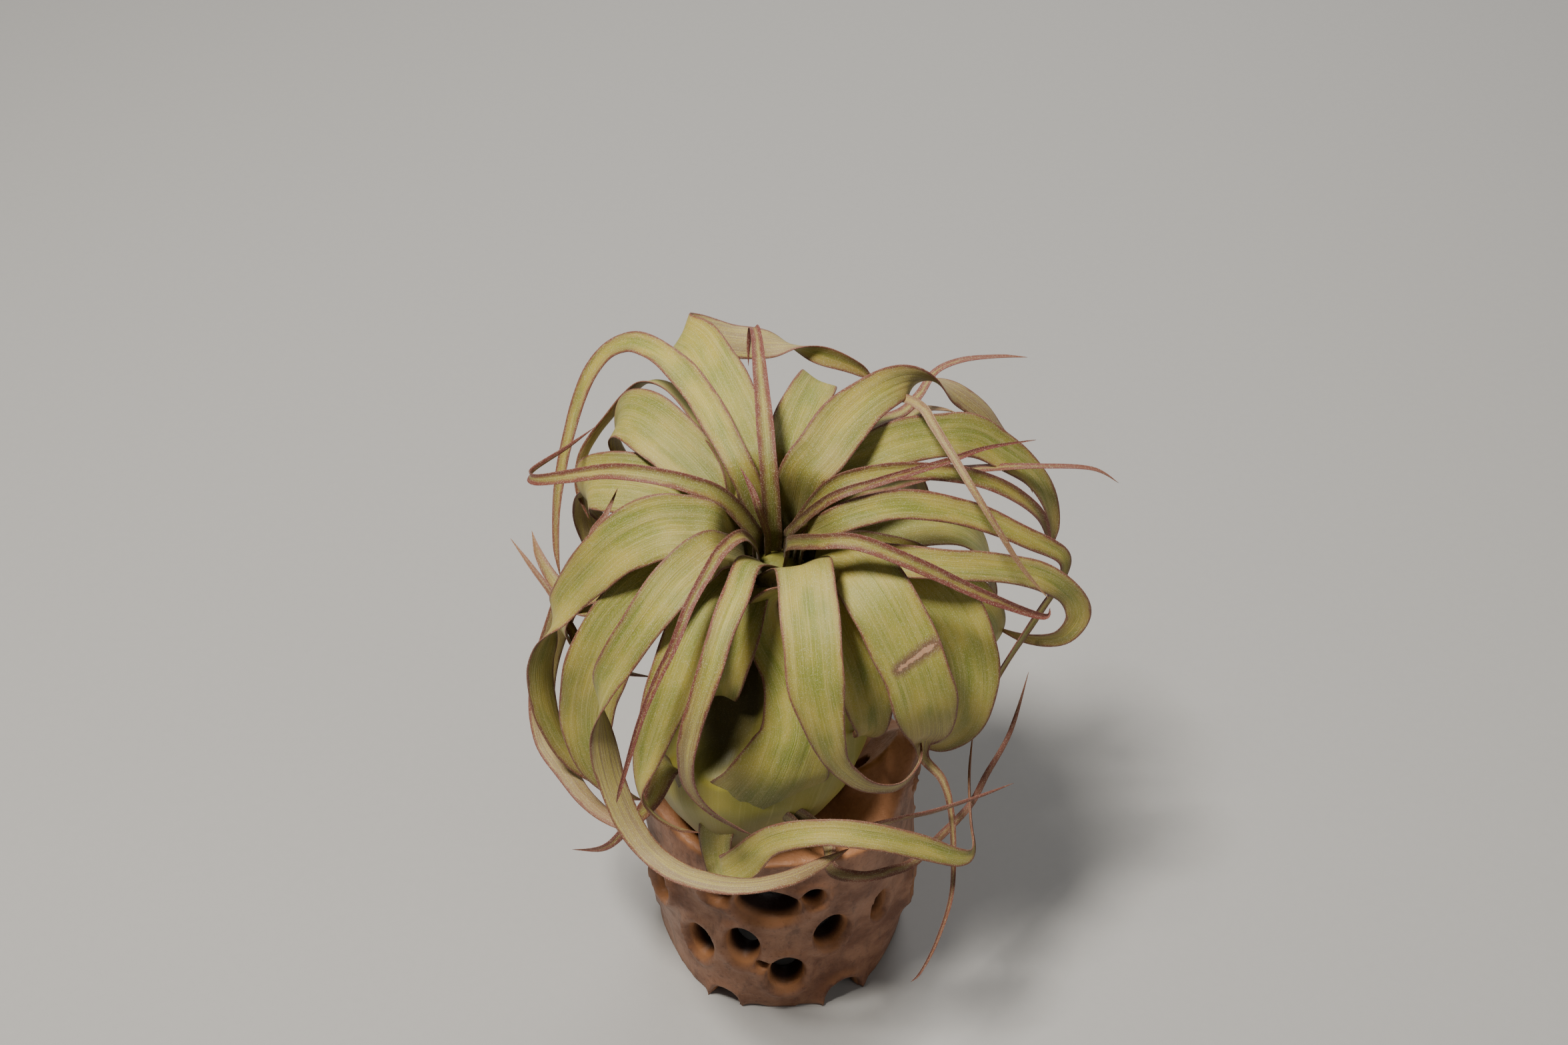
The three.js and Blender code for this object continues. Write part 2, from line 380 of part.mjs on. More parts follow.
function bulbPoint(depth, radius, turn) {
  const place = depth / BULB_LENGTH;
  const axis = bulbCurve.getTangent(Math.min(place, 1)).negate();
  const back = new THREE.Vector3().crossVectors(axis, RIGHT);
  return bulbCurve.getPoint(place)
    .addScaledVector(RIGHT, radius * Math.cos(turn))
    .addScaledVector(back, radius * Math.sin(turn));
}

function bulbGeometry(growth) {
  const rings = BULB_PROFILE.map(([depth, radius], row) => {
    const shift = row === 0 ? -growth : (row === BULB_PROFILE.length - 1 ? growth : 0);
    return Array.from({ length: BULB_SIDES }, (_, side) => (
      bulbPoint(depth + shift, radius + growth, -2 * Math.PI * side / BULB_SIDES)));
  });
  const start = [];
  const end = [];
  for (let side = 1; side < BULB_SIDES - 1; side += 1) {
    start.push(0, side + 1, side);
    end.push(0, side, side + 1);
  }
  return loft(rings, start, end);
}

// The leaves

const BULB_DEPTHS_BY_RADIUS = BULB_PROFILE
  .filter(([depth]) => depth <= BULB_WIDEST_DEPTH)
  .map(([depth, radius]) => [radius, depth]);

function viewPoint(right, up, near) {
  const scale = 1 - near / VIEW_DISTANCE;
  return MOUTH.clone()
    .addScaledVector(RIGHT, right * scale)
    .addScaledVector(UP, up * scale)
    .addScaledVector(NEAR, near);
}

// The hidden lower end of a leaf: out of the bulb, up its own layer of the funnel
function neckStations(leaf) {
  const turn = THREE.MathUtils.degToRad(leaf.aim);
  const radius = FUNNEL_RADIUS + LAYER_PITCH * leaf.layer;
  const flareDepth = FIRST_FLARE_DEPTH + LAYER_DROP * leaf.layer
    + OUTER_LAYER_DROP * leaf.layer * leaf.layer;
  const bulbDepth = interpolate(BULB_DEPTHS_BY_RADIUS, radius);
  const inward = RIGHT.clone().multiplyScalar(-Math.cos(turn))
    .addScaledVector(MOUTH_BACK, -Math.sin(turn));
  const rooted = leaf.rootDepth ?? 0;
  const mostWidth = rooted ? Infinity : Math.min(NECK_WIDTH_PER_RADIUS * radius, MOST_NECK_WIDTH);
  const width = Math.min(leaf.stations[0].width, mostWidth);
  const rootRadius = interpolate(BULB_PROFILE, rooted);
  const levels = rooted ? [
    [rooted + NECK_SINK, rootRadius - ROOT_SINK],
    [rooted - NECK_SINK, rootRadius + ROOT_LIFT],
  ] : [
    [bulbDepth + NECK_SINK, radius - NECK_TUCK],
    [(bulbDepth + flareDepth) / 2, radius],
    [flareDepth, radius + FLARE_LEAN],
  ];
  return levels.map(([depth, distance]) => ({
    point: bulbPoint(depth, distance, turn), width, inward,
    cup: rooted ? ROOT_CUP : NECK_WRAP * width / distance,
  }));
}

function bladeStations(leaf) {
  const cup = leaf.cup ?? BLADE_CUP;
  return leaf.stations.map(([right, up, near, width, facing]) => ({
    point: viewPoint(right, up, near), width, cup, facing,
  }));
}

// The leaf's stations become closely spaced rows, each with its point, width, cup and frame. The
// frame rolls along the leaf without twisting, plus the twist that the facings ask for.
function leafRows(leaf) {
  const blade = leaf.points ?? bladeStations(leaf);
  const stations = [...neckStations({ ...leaf, stations: blade }), ...blade];
  const rows = [];
  const total = (stations.length - 1) * STEPS_PER_STATION;
  const values = (read) => stations.map(read);
  const along = ['x', 'y', 'z'].map((axis) => values((station) => station.point[axis]));
  const widths = values((station) => station.width);
  const cups = values((station) => station.cup);
  for (let step = 0; step <= total; step += 1) {
    const place = step / STEPS_PER_STATION;
    rows.push({
      point: new THREE.Vector3(...along.map((list) => cubicThrough(list, place))),
      width: Math.max(cubicThrough(widths, place), LEAF_TIP_WIDTH),
      cup: cubicThrough(cups, place),
    });
  }
  rows.forEach((row, index) => {
    const before = rows[Math.max(index - 1, 0)].point;
    const after = rows[Math.min(index + 1, rows.length - 1)].point;
    row.tangent = after.clone().sub(before).normalize();
  });
  rows.forEach((row, index) => {
    const start = index === 0 ? stations[0].inward : rows[index - 1].rolled;
    row.rolled = start.clone().addScaledVector(row.tangent, -start.dot(row.tangent)).normalize();
  });
  const twists = stationTwists(stations, rows);
  rows.forEach((row, index) => {
    const twist = cubicThrough(twists, index / STEPS_PER_STATION);
    row.normal = row.rolled.clone().applyAxisAngle(row.tangent, twist);
    row.side = new THREE.Vector3().crossVectors(row.tangent, row.normal);
  });
  return thinnedRows(rows);
}

// Rows are needed only where the leaf bends or twists: a row stays when the leaf has turned far
// enough since the last one, or would by the next
function thinnedRows(rows) {
  const turnBetween = (first, second) => Math.max(
    first.tangent.angleTo(second.tangent), first.normal.angleTo(second.normal));
  let last = rows[0];
  return rows.filter((row, index) => {
    const isEnd = index === 0 || index === rows.length - 1;
    const kept = isEnd
      || turnBetween(row, last) > ROW_TURN
      || turnBetween(rows[index + 1], last) > MOST_ROW_TURN;
    if (kept) last = row;
    return kept;
  });
}

// The twist away from the rolled frame at each station: what its facing asks for, or, where it
// states none, a value between those of its neighbours
function stationTwists(stations, rows) {
  const twists = stations.map((station, index) => {
    if (station.inward) return 0;
    if (station.facing === undefined) return null;
    const row = rows[index * STEPS_PER_STATION];
    const faced = NEAR.clone().addScaledVector(row.tangent, -NEAR.dot(row.tangent));
    if (faced.length() < LEAST_FACED) return null;
    faced.normalize().applyAxisAngle(row.tangent, THREE.MathUtils.degToRad(station.facing));
    const side = new THREE.Vector3().crossVectors(row.tangent, row.rolled);
    return Math.atan2(faced.dot(side), faced.dot(row.rolled));
  });
  let known = 0;
  twists.forEach((twist, index) => {
    if (twist === null) return;
    const turns = Math.round((twists[known] - twist) / (2 * Math.PI));
    twists[index] = twist + turns * 2 * Math.PI;
    for (let gap = known + 1; gap < index; gap += 1) {
      const share = (gap - known) / (index - known);
      twists[gap] = twists[known] + (twists[index] - twists[known]) * share;
    }
    known = index;
  });
  return twists.map((twist) => twist ?? twists[known]);
}

function leafGeometry(leaf, growth) {
  const rows = leafRows(leaf);
  const half = LEAF_THICKNESS / 2 + growth;
  const rings = rows.map((row, index) => {
    const reach = row.width / 2 + growth;
    const lift = row.cup * row.width / 2;
    const end = index === 0 ? -growth : (index === rows.length - 1 ? growth : 0);
    const middle = row.point.clone().addScaledVector(row.tangent, end);
    const place = (across, above) => middle.clone()
      .addScaledVector(row.side, across)
      .addScaledVector(row.normal, above);
    return [
      place(-reach, lift + half), place(0, half), place(reach, lift + half),
      place(reach, lift - half), place(0, -half), place(-reach, lift - half),
    ];
  });
  const start = [0, 1, 4, 0, 4, 5, 1, 2, 3, 1, 3, 4].reverse();
  const end = [0, 1, 4, 0, 4, 5, 1, 2, 3, 1, 3, 4];
  return loft(rings, start, end, (side) => side === 3 || side === 4);
}

// A seeded draw between 0 and 1, from a multiplicative generator
const DRAW_MULTIPLIER = 16807;
const DRAW_MODULUS = 2147483647;
let drawState = 7;
function draw() {
  drawState = (drawState * DRAW_MULTIPLIER) % DRAW_MODULUS;
  return drawState / DRAW_MODULUS;
}

function backLeaves() {
  const leaves = [];
  BACK_RINGS.forEach((ring, ringIndex) => {
    for (let index = 0; index < ring.count; index += 1) {
      const share = index / (ring.count - 1);
      const aim = ring.firstTurn + (ring.lastTurn - ring.firstTurn) * share;
      const reach = ring.reach * (1 + BACK_REACH_SPREAD * (draw() - 0.5));
      const fall = ring.fall * (1 + BACK_FALL_SPREAD * (draw() - 0.5));
      const sway = BACK_SWAY_DEGREES * (draw() - 0.5);
      leaves.push({
        name: `leaf_behind_${ringIndex + 1}_${index + 1}`,
        layer: ring.layer,
        aim,
        points: backArch(aim, reach, ring.rise, fall, sway, ring.width),
      });
    }
  });
  return leaves;
}

function backArch(aim, reach, rise, fall, sway, width) {
  return BACK_ARCH.map(([out, down, share]) => {
    const turn = THREE.MathUtils.degToRad(aim + sway * out);
    return {
      point: MOUTH.clone().add(new THREE.Vector3(
        reach * out * Math.cos(turn), reach * out * Math.sin(turn), rise - fall * down)),
      width: width * share,
      cup: BLADE_CUP,
    };
  });
}

// The wood

function woodRadius(height, turn) {
  return WOOD_LUMPS.reduce(
    (radius, lump) => radius + lump.height * Math.sin(lump.count * turn + height / lump.climb),
    interpolate(WOOD_PROFILE, height));
}

// 1 at a turn round the wood, falling off smoothly on both sides of it
function nearTurn(turn, middle, spread) {
  const away = Math.atan2(Math.sin(turn - middle), Math.cos(turn - middle));
  return Math.exp(-((away / spread) ** 2));
}

function woodWall(height, turn) {
  return interpolate(WOOD_WALL_PROFILE, height)
    + interpolate(WOOD_SHOULDER_PROFILE, height)
      * nearTurn(turn, WOOD_SHOULDER_TURN, WOOD_SHOULDER_SPREAD);
}

function woodTop(turn) {
  const spur = nearTurn(turn, WOOD_SPUR_TURN, WOOD_SPUR_SPREAD);
  const wave = WOOD_RIM_WAVE.height * Math.sin(WOOD_RIM_WAVE.count * turn + WOOD_RIM_WAVE.phase);
  return WOOD_HEIGHT + WOOD_SPUR_HEIGHT * spur + wave;
}

function woodSolid() {
  const rings = [];
  const ring = (share, inside) => Array.from({ length: WOOD_SIDES }, (_, side) => {
    const turn = 2 * Math.PI * side / WOOD_SIDES;
    const height = woodTop(turn) * share;
    const wall = inside ? woodWall(height, turn) : 0;
    const radius = woodRadius(height, turn) - wall;
    return new THREE.Vector3(
      radius * Math.cos(turn), radius * Math.sin(turn) * WOOD_DEPTH_SHARE, height);
  });
  for (let row = 0; row <= WOOD_RINGS; row += 1) rings.push(ring(row / WOOD_RINGS, false));
  for (let row = WOOD_RINGS; row >= 0; row -= 1) rings.push(ring(row / WOOD_RINGS, true));
  rings.push(rings[0]);
  let wood = solidOf(loft(rings, [], []));
  for (const hole of WOOD_HOLES) wood = wood.subtract(holeSolid(...hole));
  return largestBody(wood.subtract(solidOf(bulbGeometry(CLEARANCE))));
}

// A hole is an oval drum through the wall, wider at the outside where its lip is worn round
function holeSolid(turnDegrees, height, halfWidth, halfHeight) {
  const turn = THREE.MathUtils.degToRad(turnDegrees);
  const radius = woodRadius(height, turn);
  const profile = WOOD_HOLE_PROFILE.map(([share, out]) => new THREE.Vector2(share, out));
  const drum = new THREE.LatheGeometry(profile, WOOD_HOLE_SIDES);
  drum.scale(halfHeight, 1, halfWidth);
  drum.rotateZ(-Math.PI / 2);
  drum.rotateX(Math.PI / 2);
  drum.translate(radius, 0, 0);
  drum.rotateZ(turn);
  drum.scale(1, WOOD_DEPTH_SHARE, 1);
  drum.translate(0, 0, height);
  return solidOf(drum);
}

// Assembly: the bulb, the wood cut to it, then the leaves from the youngest outward. A leaf that
// would touch a younger one gives way to it.

function boxesMeet(first, second) {
  return [0, 1, 2].every((axis) => (
    first.min[axis] < second.max[axis] && second.min[axis] < first.max[axis]));
}

function leafSolids() {
  const bulbCutter = solidOf(bulbGeometry(CLEARANCE));
  const cutters = [];
  return [...LEAVES, ...backLeaves()]
    .sort((first, second) => first.layer - second.layer)
    .map((leaf) => {
      let solid = solidOf(leafGeometry(leaf, 0)).subtract(bulbCutter);
      const box = solid.boundingBox();
      for (const cutter of cutters) {
        if (boxesMeet(box, cutter.boundingBox())) solid = solid.subtract(cutter);
      }
      cutters.push(solidOf(leafGeometry(leaf, CUT_CLEARANCE)));
      return { leaf, solid: largestBody(solid) };
    });
}

const plant = new THREE.Group();
plant.position.copy(CENTRING);

const bulb = new THREE.Mesh(geometryOf(solidOf(bulbGeometry(0))), mattMaterial(BULB_GREEN));
bulb.name = 'bulb_of_leaf_bases';
plant.add(bulb);

const wood = new THREE.Mesh(geometryOf(woodSolid()), mattMaterial(WOOD_BROWN));
wood.name = 'holed_wood_stand';
plant.add(wood);

for (const { leaf, solid } of leafSolids()) {
  const colour = leaf.cup === CHANNEL_CUP ? LEAF_RED : LEAF_GREEN;
  const mesh = new THREE.Mesh(geometryOf(solid), mattMaterial(colour));
  mesh.name = leaf.name;
  plant.add(mesh);
}

export default plant;
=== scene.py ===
"""A curly-leaved air plant in the top of a hollow piece of hole-riddled wood.

Lengths in the tables are millimetres, measured from the wood's axis on the surface that it stands
on, with the front of the plant towards -Y. Every mesh is made in metres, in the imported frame.
"""

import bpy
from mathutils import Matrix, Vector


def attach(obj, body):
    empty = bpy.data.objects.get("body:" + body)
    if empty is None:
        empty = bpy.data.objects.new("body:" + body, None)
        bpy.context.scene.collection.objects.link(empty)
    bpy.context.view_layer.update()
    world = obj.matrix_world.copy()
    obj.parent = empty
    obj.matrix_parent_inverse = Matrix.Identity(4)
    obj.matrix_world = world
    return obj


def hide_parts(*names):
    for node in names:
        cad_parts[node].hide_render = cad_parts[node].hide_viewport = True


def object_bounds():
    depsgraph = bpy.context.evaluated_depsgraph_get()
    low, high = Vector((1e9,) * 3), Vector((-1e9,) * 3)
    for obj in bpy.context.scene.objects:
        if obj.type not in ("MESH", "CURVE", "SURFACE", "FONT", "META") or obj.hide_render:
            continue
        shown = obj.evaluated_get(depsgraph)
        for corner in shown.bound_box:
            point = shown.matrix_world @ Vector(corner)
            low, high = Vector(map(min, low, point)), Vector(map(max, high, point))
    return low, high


bl_info = {
    "name": "Air plant on holed wood",
    "version": (1, 0, 0),
    "blender": (4, 5, 0),
    "location": "View3D > Sidebar > Air plant",
    "description": "Makes the leaves, bulb and wood stand of a curly-leaved air plant",
    "category": "Add Mesh",
}

import math
from random import Random

import bmesh
import bpy
import numpy as np
from mathutils import Vector

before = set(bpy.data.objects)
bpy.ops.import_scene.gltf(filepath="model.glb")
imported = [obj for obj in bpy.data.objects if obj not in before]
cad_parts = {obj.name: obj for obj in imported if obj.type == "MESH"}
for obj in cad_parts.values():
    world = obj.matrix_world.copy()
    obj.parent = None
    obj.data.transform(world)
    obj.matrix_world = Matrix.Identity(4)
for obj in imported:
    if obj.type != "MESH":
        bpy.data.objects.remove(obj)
cad_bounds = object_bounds()

MM = 0.001

# The wood's axis stands this far from the frame's origin
CENTRING = np.array([-9.4765, -11.304, 0.0])

# The funnel's mouth, the lean of its axis towards the front, and the bulb below it
MOUTH = np.array([-1.5, 6.0, 190.0])
MOUTH_LEAN = math.radians(25)
BULB_FOOT = np.array([-13.0, -22.0, 75.0])
BULB_BEND = 34
# Depth below the mouth along the bulb's axis, and the bulb's radius there
BULB_PROFILE = [
    (19, 2), (21, 5), (25, 9), (32, 13.5), (41, 18), (52, 24), (66, 31),
    (80, 36.5), (91, 37.5), (101, 34), (109, 27), (116, 17), (121, 8),
]
BULB_WIDEST_DEPTH = 91

# The leaves are laid out as seen from the front and above, from this distance and height angle:
# a station is (right, up, near, width, facing), in mm from the mouth and degrees. A facing of 0
# turns the leaf's upper side to that viewpoint, and 90 stands it on edge.
VIEW_DISTANCE = 600
VIEW_HEIGHT_ANGLE = math.radians(45)
RIGHT = np.array([1.0, 0.0, 0.0])
UP = np.array([0.0, math.sin(VIEW_HEIGHT_ANGLE), math.cos(VIEW_HEIGHT_ANGLE)])
NEAR = np.array([0.0, -math.cos(VIEW_HEIGHT_ANGLE), math.sin(VIEW_HEIGHT_ANGLE)])

# A leaf that runs nearly along the line of sight there follows its neighbours' facings instead
LEAST_FACED = 0.6

# The cup is how far a leaf's edges rise over its middle line, as a share of its half width. A neck
# wraps round the funnel, so its cup grows with its width and falls with its distance from the axis.
NECK_WRAP = 0.24
ROOT_CUP = 0.46
BLADE_CUP = 0.14
SHEATH_CUP = 0.24
CHANNEL_CUP = 0.4

# The funnel: its youngest layer's radius, the layers' pitch, and how far below the mouth each layer
# starts to flare
FUNNEL_RADIUS = 4
LAYER_PITCH = 1.45
FIRST_FLARE_DEPTH = 2
LAYER_DROP = 1.1
OUTER_LAYER_DROP = 0.06
FLARE_LEAN = 0.8
NECK_WIDTH_PER_RADIUS = 1.6
MOST_NECK_WIDTH = 18
# How far a neck's foot goes down into the bulb and in from its layer, and how far a root lies under
# the bulb's skin at its foot and over it where it comes out
NECK_SINK = 4
NECK_TUCK = 0.5
ROOT_SINK = 2
ROOT_LIFT = 1.2

# Each leaf has its layer, counted outward from the youngest, the direction in which it leaves the
# funnel, in degrees anticlockwise from the right, and its stations. A leaf with a root depth grows
# out of the bulb's side that far below the mouth.
LEAVES = [
    dict(name="leaf_right_red", layer=0, aim=-4, cup=CHANNEL_CUP, stations=[
        (14, 0, 17, 6, 0), (25.6, -0.4, 21, 6, 0), (44, -7.6, 20, 5.5, 0), (62.4, -16.2, 13, 4.5),
        (79.6, -22.4, 4, 2.5), (82.4, -20, 3, 1)]),
    dict(name="leaf_crossing_red", layer=1, aim=42, cup=CHANNEL_CUP, stations=[
        (16.8, 13, 17, 4, 0), (31.2, 18, 18, 3.5, 0), (51.2, 24, 13, 2.6), (63.2, 28, 8, 1.6),
        (78.2, 30.4, 0, 0.9)]),
    dict(name="leaf_heart_tip", layer=0, aim=125, cup=CHANNEL_CUP, stations=[
        (-5.2, 10, 8, 3), (-7.2, 15.6, 9, 2.4), (-10.6, 22.4, 8, 0.9)]),
    dict(name="leaf_front_left_red", layer=1, aim=-170, cup=CHANNEL_CUP, stations=[
        (-10.2, 1.6, 13, 5, 0), (-15.8, -2.4, 18, 5, 0), (-20.6, -9.8, 22, 4.6, 0),
        (-25.6, -19, 25, 4, 0), (-30.4, -31.2, 26, 3.6, 0), (-35.2, -41, 24, 3.1, 0),
        (-40.2, -53.2, 20, 2.5, 0), (-43.8, -65, 14, 2), (-46.4, -74, 9, 1.5), (-47.6, -78.4, 6, 0.9)]),
    dict(name="leaf_back_channel", layer=1, aim=97, cup=CHANNEL_CUP, stations=[
        (-2, 22.4, 6, 7, 0), (-3.4, 38.4, 0, 6.5, 0), (-4.6, 50.4, -8, 5.5, 0),
        (-5.6, 60.4, -17, 4.5, 0), (-6.6, 63.6, -21, 3.6), (-7.8, 59.4, -26, 2), (-8.2, 52.4, -29, 1)]),
    dict(name="leaf_front_narrow", layer=2, aim=-112, stations=[
        (-8, -6.8, 12, 8, 0), (-11.4, -15.2, 20, 8.5, 0), (-15.6, -25.6, 26, 8, 0),
        (-19.4, -38.2, 27, 7.5, 0), (-23, -49.2, 24, 7, 0), (-25.4, -57.2, 20, 6.5, 0),
        (-26.6, -65.6, 14, 6, 25), (-25.4, -73.6, 6, 5), (-19.4, -80.8, 0, 3.4), (-11.2, -86, -6, 2),
        (-7.2, -88, -8, 1)]),
    dict(name="leaf_left_channel", layer=2, aim=150, cup=CHANNEL_CUP, stations=[
        (-15.8, 13.2, 9, 7, 0), (-25.6, 17.2, 12, 7, 0), (-37.8, 20, 12, 6.5, 0), (-50, 21, 8, 6, 0),
        (-62.2, 19.4, 1, 5, 0), (-71.6, 18.4, -6, 4.4), (-72.6, 20.8, -12, 3.5),
        (-62.2, 27.8, -19, 2.4), (-54.2, 34, -22, 1)]),
    dict(name="leaf_right_channel", layer=2, aim=34, cup=CHANNEL_CUP, stations=[
        (17.4, 16.4, 12, 7, 0), (31.2, 20.4, 13, 7, 0), (45.4, 21, 9, 6.8, 0), (58.4, 19.4, 3, 6.6, 0),
        (69.4, 15.2, -5, 6), (78, 8.8, -14, 5), (81, 2.4, -22, 3.6), (81.8, -3.6, -28, 1.6)]),
    dict(name="leaf_right_arching", layer=3, aim=16, stations=[
        (17.4, 5.8, 14, 8.5, 0), (27.4, 9.4, 16, 9, 0), (40.8, 11.2, 13, 9, 0), (59.4, 7.8, 6, 8, 0),
        (75.4, 1, -3, 6.5, 0), (86, -4.6, -12, 5.5), (85.4, -11.6, -18, 5), (79.4, -20.6, -23, 4.8),
        (69.4, -35.6, -28, 4.2), (61, -50, -33, 3), (54.6, -61.8, -38, 1.2)]),
    dict(name="leaf_back_left_arching", layer=3, aim=112, stations=[
        (-10.6, 22.4, 4, 8.5, 0), (-17.4, 35.2, -2, 9.5, 0), (-24, 45.8, -10, 9.5, 0),
        (-31.6, 53.8, -18, 9, 20), (-38, 58, -25, 8), (-43.6, 59.4, -30, 7),
        (-50, 57, -35, 6, 20), (-55.2, 50.8, -39, 5.5, 20), (-59, 42.2, -42, 5, 20),
        (-61.6, 33, -45, 4.5, 20), (-64, 22.4, -48, 4, 20), (-65.6, 10.4, -50, 3.2, 20),
        (-65.8, -2, -52, 2.2, 20), (-64.6, -11.6, -54, 1)]),
    dict(name="leaf_front_strap", layer=4, aim=-74, stations=[
        (8, -7.4, 15, 17), (9.2, -10.6, 21, 17.5, 0), (10, -18, 24.5, 17.5, 0),
        (11.2, -29.6, 28, 17.5, 0), (12.2, -42, 27, 17, 0), (14.2, -53, 22.5, 13.5, 0),
        (16.6, -61.6, 16, 9.5), (19.8, -67.6, 9, 7), (27.6, -73.2, 0, 5.5), (36.8, -73.2, -7, 4.4),
        (42.8, -66.6, -13, 3), (43.4, -58.4, -19, 1.2)]),
    dict(name="leaf_front_left_strap", layer=4, aim=-158, stations=[
        (-17.5, -2.6, 14, 12.5, 0), (-23.2, -5.8, 16, 14.5, 0), (-29.8, -11.6, 18, 14, 0),
        (-36.2, -19.6, 19, 13, 0), (-42.2, -28, 17, 12, 0), (-47.2, -35.6, 13, 11, 0),
        (-51, -42.4, 8, 10.5, 30), (-52.4, -50, 2, 10, 85), (-51.6, -60, -4, 9.8, 140),
        (-49, -72, -12, 9.4, 155), (-44, -84, -16, 9, 155), (-38, -92.5, -16, 8.4, 150),
        (-29.8, -98.8, -12, 7.8, 140), (-19, -102.2, -8, 7.2, 135), (-8, -103, -6, 6.6, 130),
        (3.2, -101, -8, 5.6, 140), (12.2, -97.4, -14, 4.4, 155), (22, -92.4, -22, 2, 160)]),
    dict(name="leaf_back_right_strap", layer=5, aim=62, stations=[
        (8, 20, 8, 14, 0), (14, 27, 9, 16.5, 0), (20.4, 35.6, 6, 16, 0), (29, 43.2, 1, 13.5, 0),
        (37.8, 47.8, -6, 11, 20), (45.8, 48.6, -12, 9.5, 85), (54.4, 44.4, -18, 9, 140),
        (62.4, 38.4, -26, 8, 150), (68.4, 30.4, -34, 6.4, 150), (74.4, 22.4, -42, 4),
        (77, 14, -48, 1.4)]),
    dict(name="leaf_left_broad", layer=5, aim=176, stations=[
        (-18, 4, 11, 14, 0), (-25, 5, 13, 17.5, 0), (-34, 4.6, 13, 20, 0), (-41.6, 1.8, 11, 19, 0),
        (-48.2, -2.2, 8, 17.5, 0), (-55, -8.6, 3, 15, 0), (-60.4, -14.6, -3, 13, 10),
        (-64.4, -20.6, -9, 11.5, 35), (-66.8, -25.6, -14, 10.5, 80), (-68.8, -31.6, -19, 10, 125),
        (-70.2, -38, -25, 10, 140), (-69.8, -45.6, -32, 9.5, 145), (-68, -53.2, -38, 9, 145),
        (-64.6, -60.4, -43, 8, 145), (-59, -66.8, -48, 7), (-51.6, -72, -52, 5), (-44, -75, -55, 2)]),
    dict(name="leaf_right_scarred", layer=6, aim=-27, stations=[
        (20, -5, 6, 16, 0), (26.4, -10, 11, 19, 0), (32.4, -18.6, 14, 21, 0), (38, -29.6, 12, 21, 0),
        (42.4, -40, 8, 20.5, 0), (45.2, -50, 1, 20), (46, -57, -9, 16), (43.8, -60, -17, 10),
        (44.4, -65.2, -21, 6), (49.8, -71.4, -22.5, 4.4), (52.4, -80.4, -25, 3.6),
        (53.2, -93.8, -31, 3), (52.4, -107.2, -34, 2.5), (48, -120.6, -37, 2), (43.4, -129.4, -40, 1.4),
        (40.4, -132.6, -42, 0.9)]),
    dict(name="leaf_back_broad", layer=6, aim=104, stations=[
        (-6.4, 24, 0, 15, 0), (-10, 34.4, -5, 17, 0), (-16.6, 48.4, -14, 17, 0),
        (-23, 58.6, -26, 15.5, 0), (-27.6, 62, -34, 13.5), (-24.6, 62, -41, 13),
        (-13.6, 60, -45, 12.5, 165), (-2.6, 59, -47, 10, 160), (6.4, 58, -48, 8.4, 90),
        (15.4, 55.2, -49, 7, 30), (24.4, 51.6, -51, 5), (30, 47, -54, 1.4)]),
    dict(name="leaf_back_right_broad", layer=6, aim=40, stations=[
        (17.6, 19.6, -1, 12, 0), (26, 24.6, -1, 13.5, 0), (37.4, 29.6, -3, 14, 0),
        (49.4, 31.6, -8, 14, 0), (59.4, 31.4, -14, 13.5, 0), (68.4, 26.4, -21, 11.5),
        (76.4, 20.4, -28, 9), (81, 13.4, -35, 7.4), (82.8, 4.4, -42, 5.4), (81.8, -4.6, -48, 2)]),
    dict(name="leaf_dry_diagonal", layer=7, aim=54, cup=CHANNEL_CUP, stations=[
        (18, 30, -5, 5.5), (28, 41, -10, 5.5), (37.4, 42.6, -8, 5.2), (44, 40, 1, 4.8),
        (48, 34, 8, 4.5), (54, 24.4, 15, 4, 0), (59.6, 15.2, 18, 3.5, 0), (66.8, 3.6, 17, 2.9, 0),
        (74, -7.8, 13, 2.2), (82.2, -17.4, 8, 0.9)]),
    dict(name="leaf_right_loop", layer=7, aim=-8, stations=[
        (22, -3.6, 1, 10, 0), (35.4, -5.6, 3, 10, 0), (51.8, -7, 3, 9.5, 0), (66.8, -8, -3, 9.2, 0),
        (79.4, -10.6, -10, 9, 0), (88.4, -16, -18, 8.6, 30), (90.6, -22.6, -25, 8),
        (85.4, -28.6, -31, 7), (75.4, -29, -34, 5), (64.6, -25.4, -37, 2.4)]),
    dict(name="leaf_right_broad", layer=8, aim=-10, stations=[
        (27, -3.6, -7, 14, 0), (41.4, -9.6, -7, 18, 0), (52.4, -20.6, -9, 19, 0),
        (58.4, -33.6, -14, 17.5, 0), (59.4, -46.6, -21, 14.5), (56.4, -56, -30, 11),
        (49.4, -61, -37, 7), (40, -61, -42, 2.5)]),
    dict(name="leaf_front_left_green", layer=6, aim=-136, stations=[
        (-14, -12, 8, 12, 0), (-20.6, -19, 12, 15, 0), (-26.6, -30.6, 13, 15.5, 0),
        (-31.4, -43.6, 11, 14.5, 0), (-35.6, -55.6, 6, 12, 0), (-38.6, -65.6, 0, 9, 20),
        (-40.2, -74.8, -6, 6.6, 70), (-37.6, -80.6, -10, 4.6), (-30.6, -85.6, -16, 3),
        (-22.6, -87.6, -22, 1.4)]),
    dict(name="leaf_back_left_broad", layer=7, aim=138, stations=[
        (-18, 16, -11, 15, 0), (-26, 25, -14, 18, 0), (-33.4, 31.6, -17, 19.5, 0),
        (-39.6, 36.2, -21, 19, 0), (-45, 37.6, -27, 17), (-47.4, 34.4, -34, 14), (-46.6, 28.4, -40, 10),
        (-42, 22, -44, 4)]),
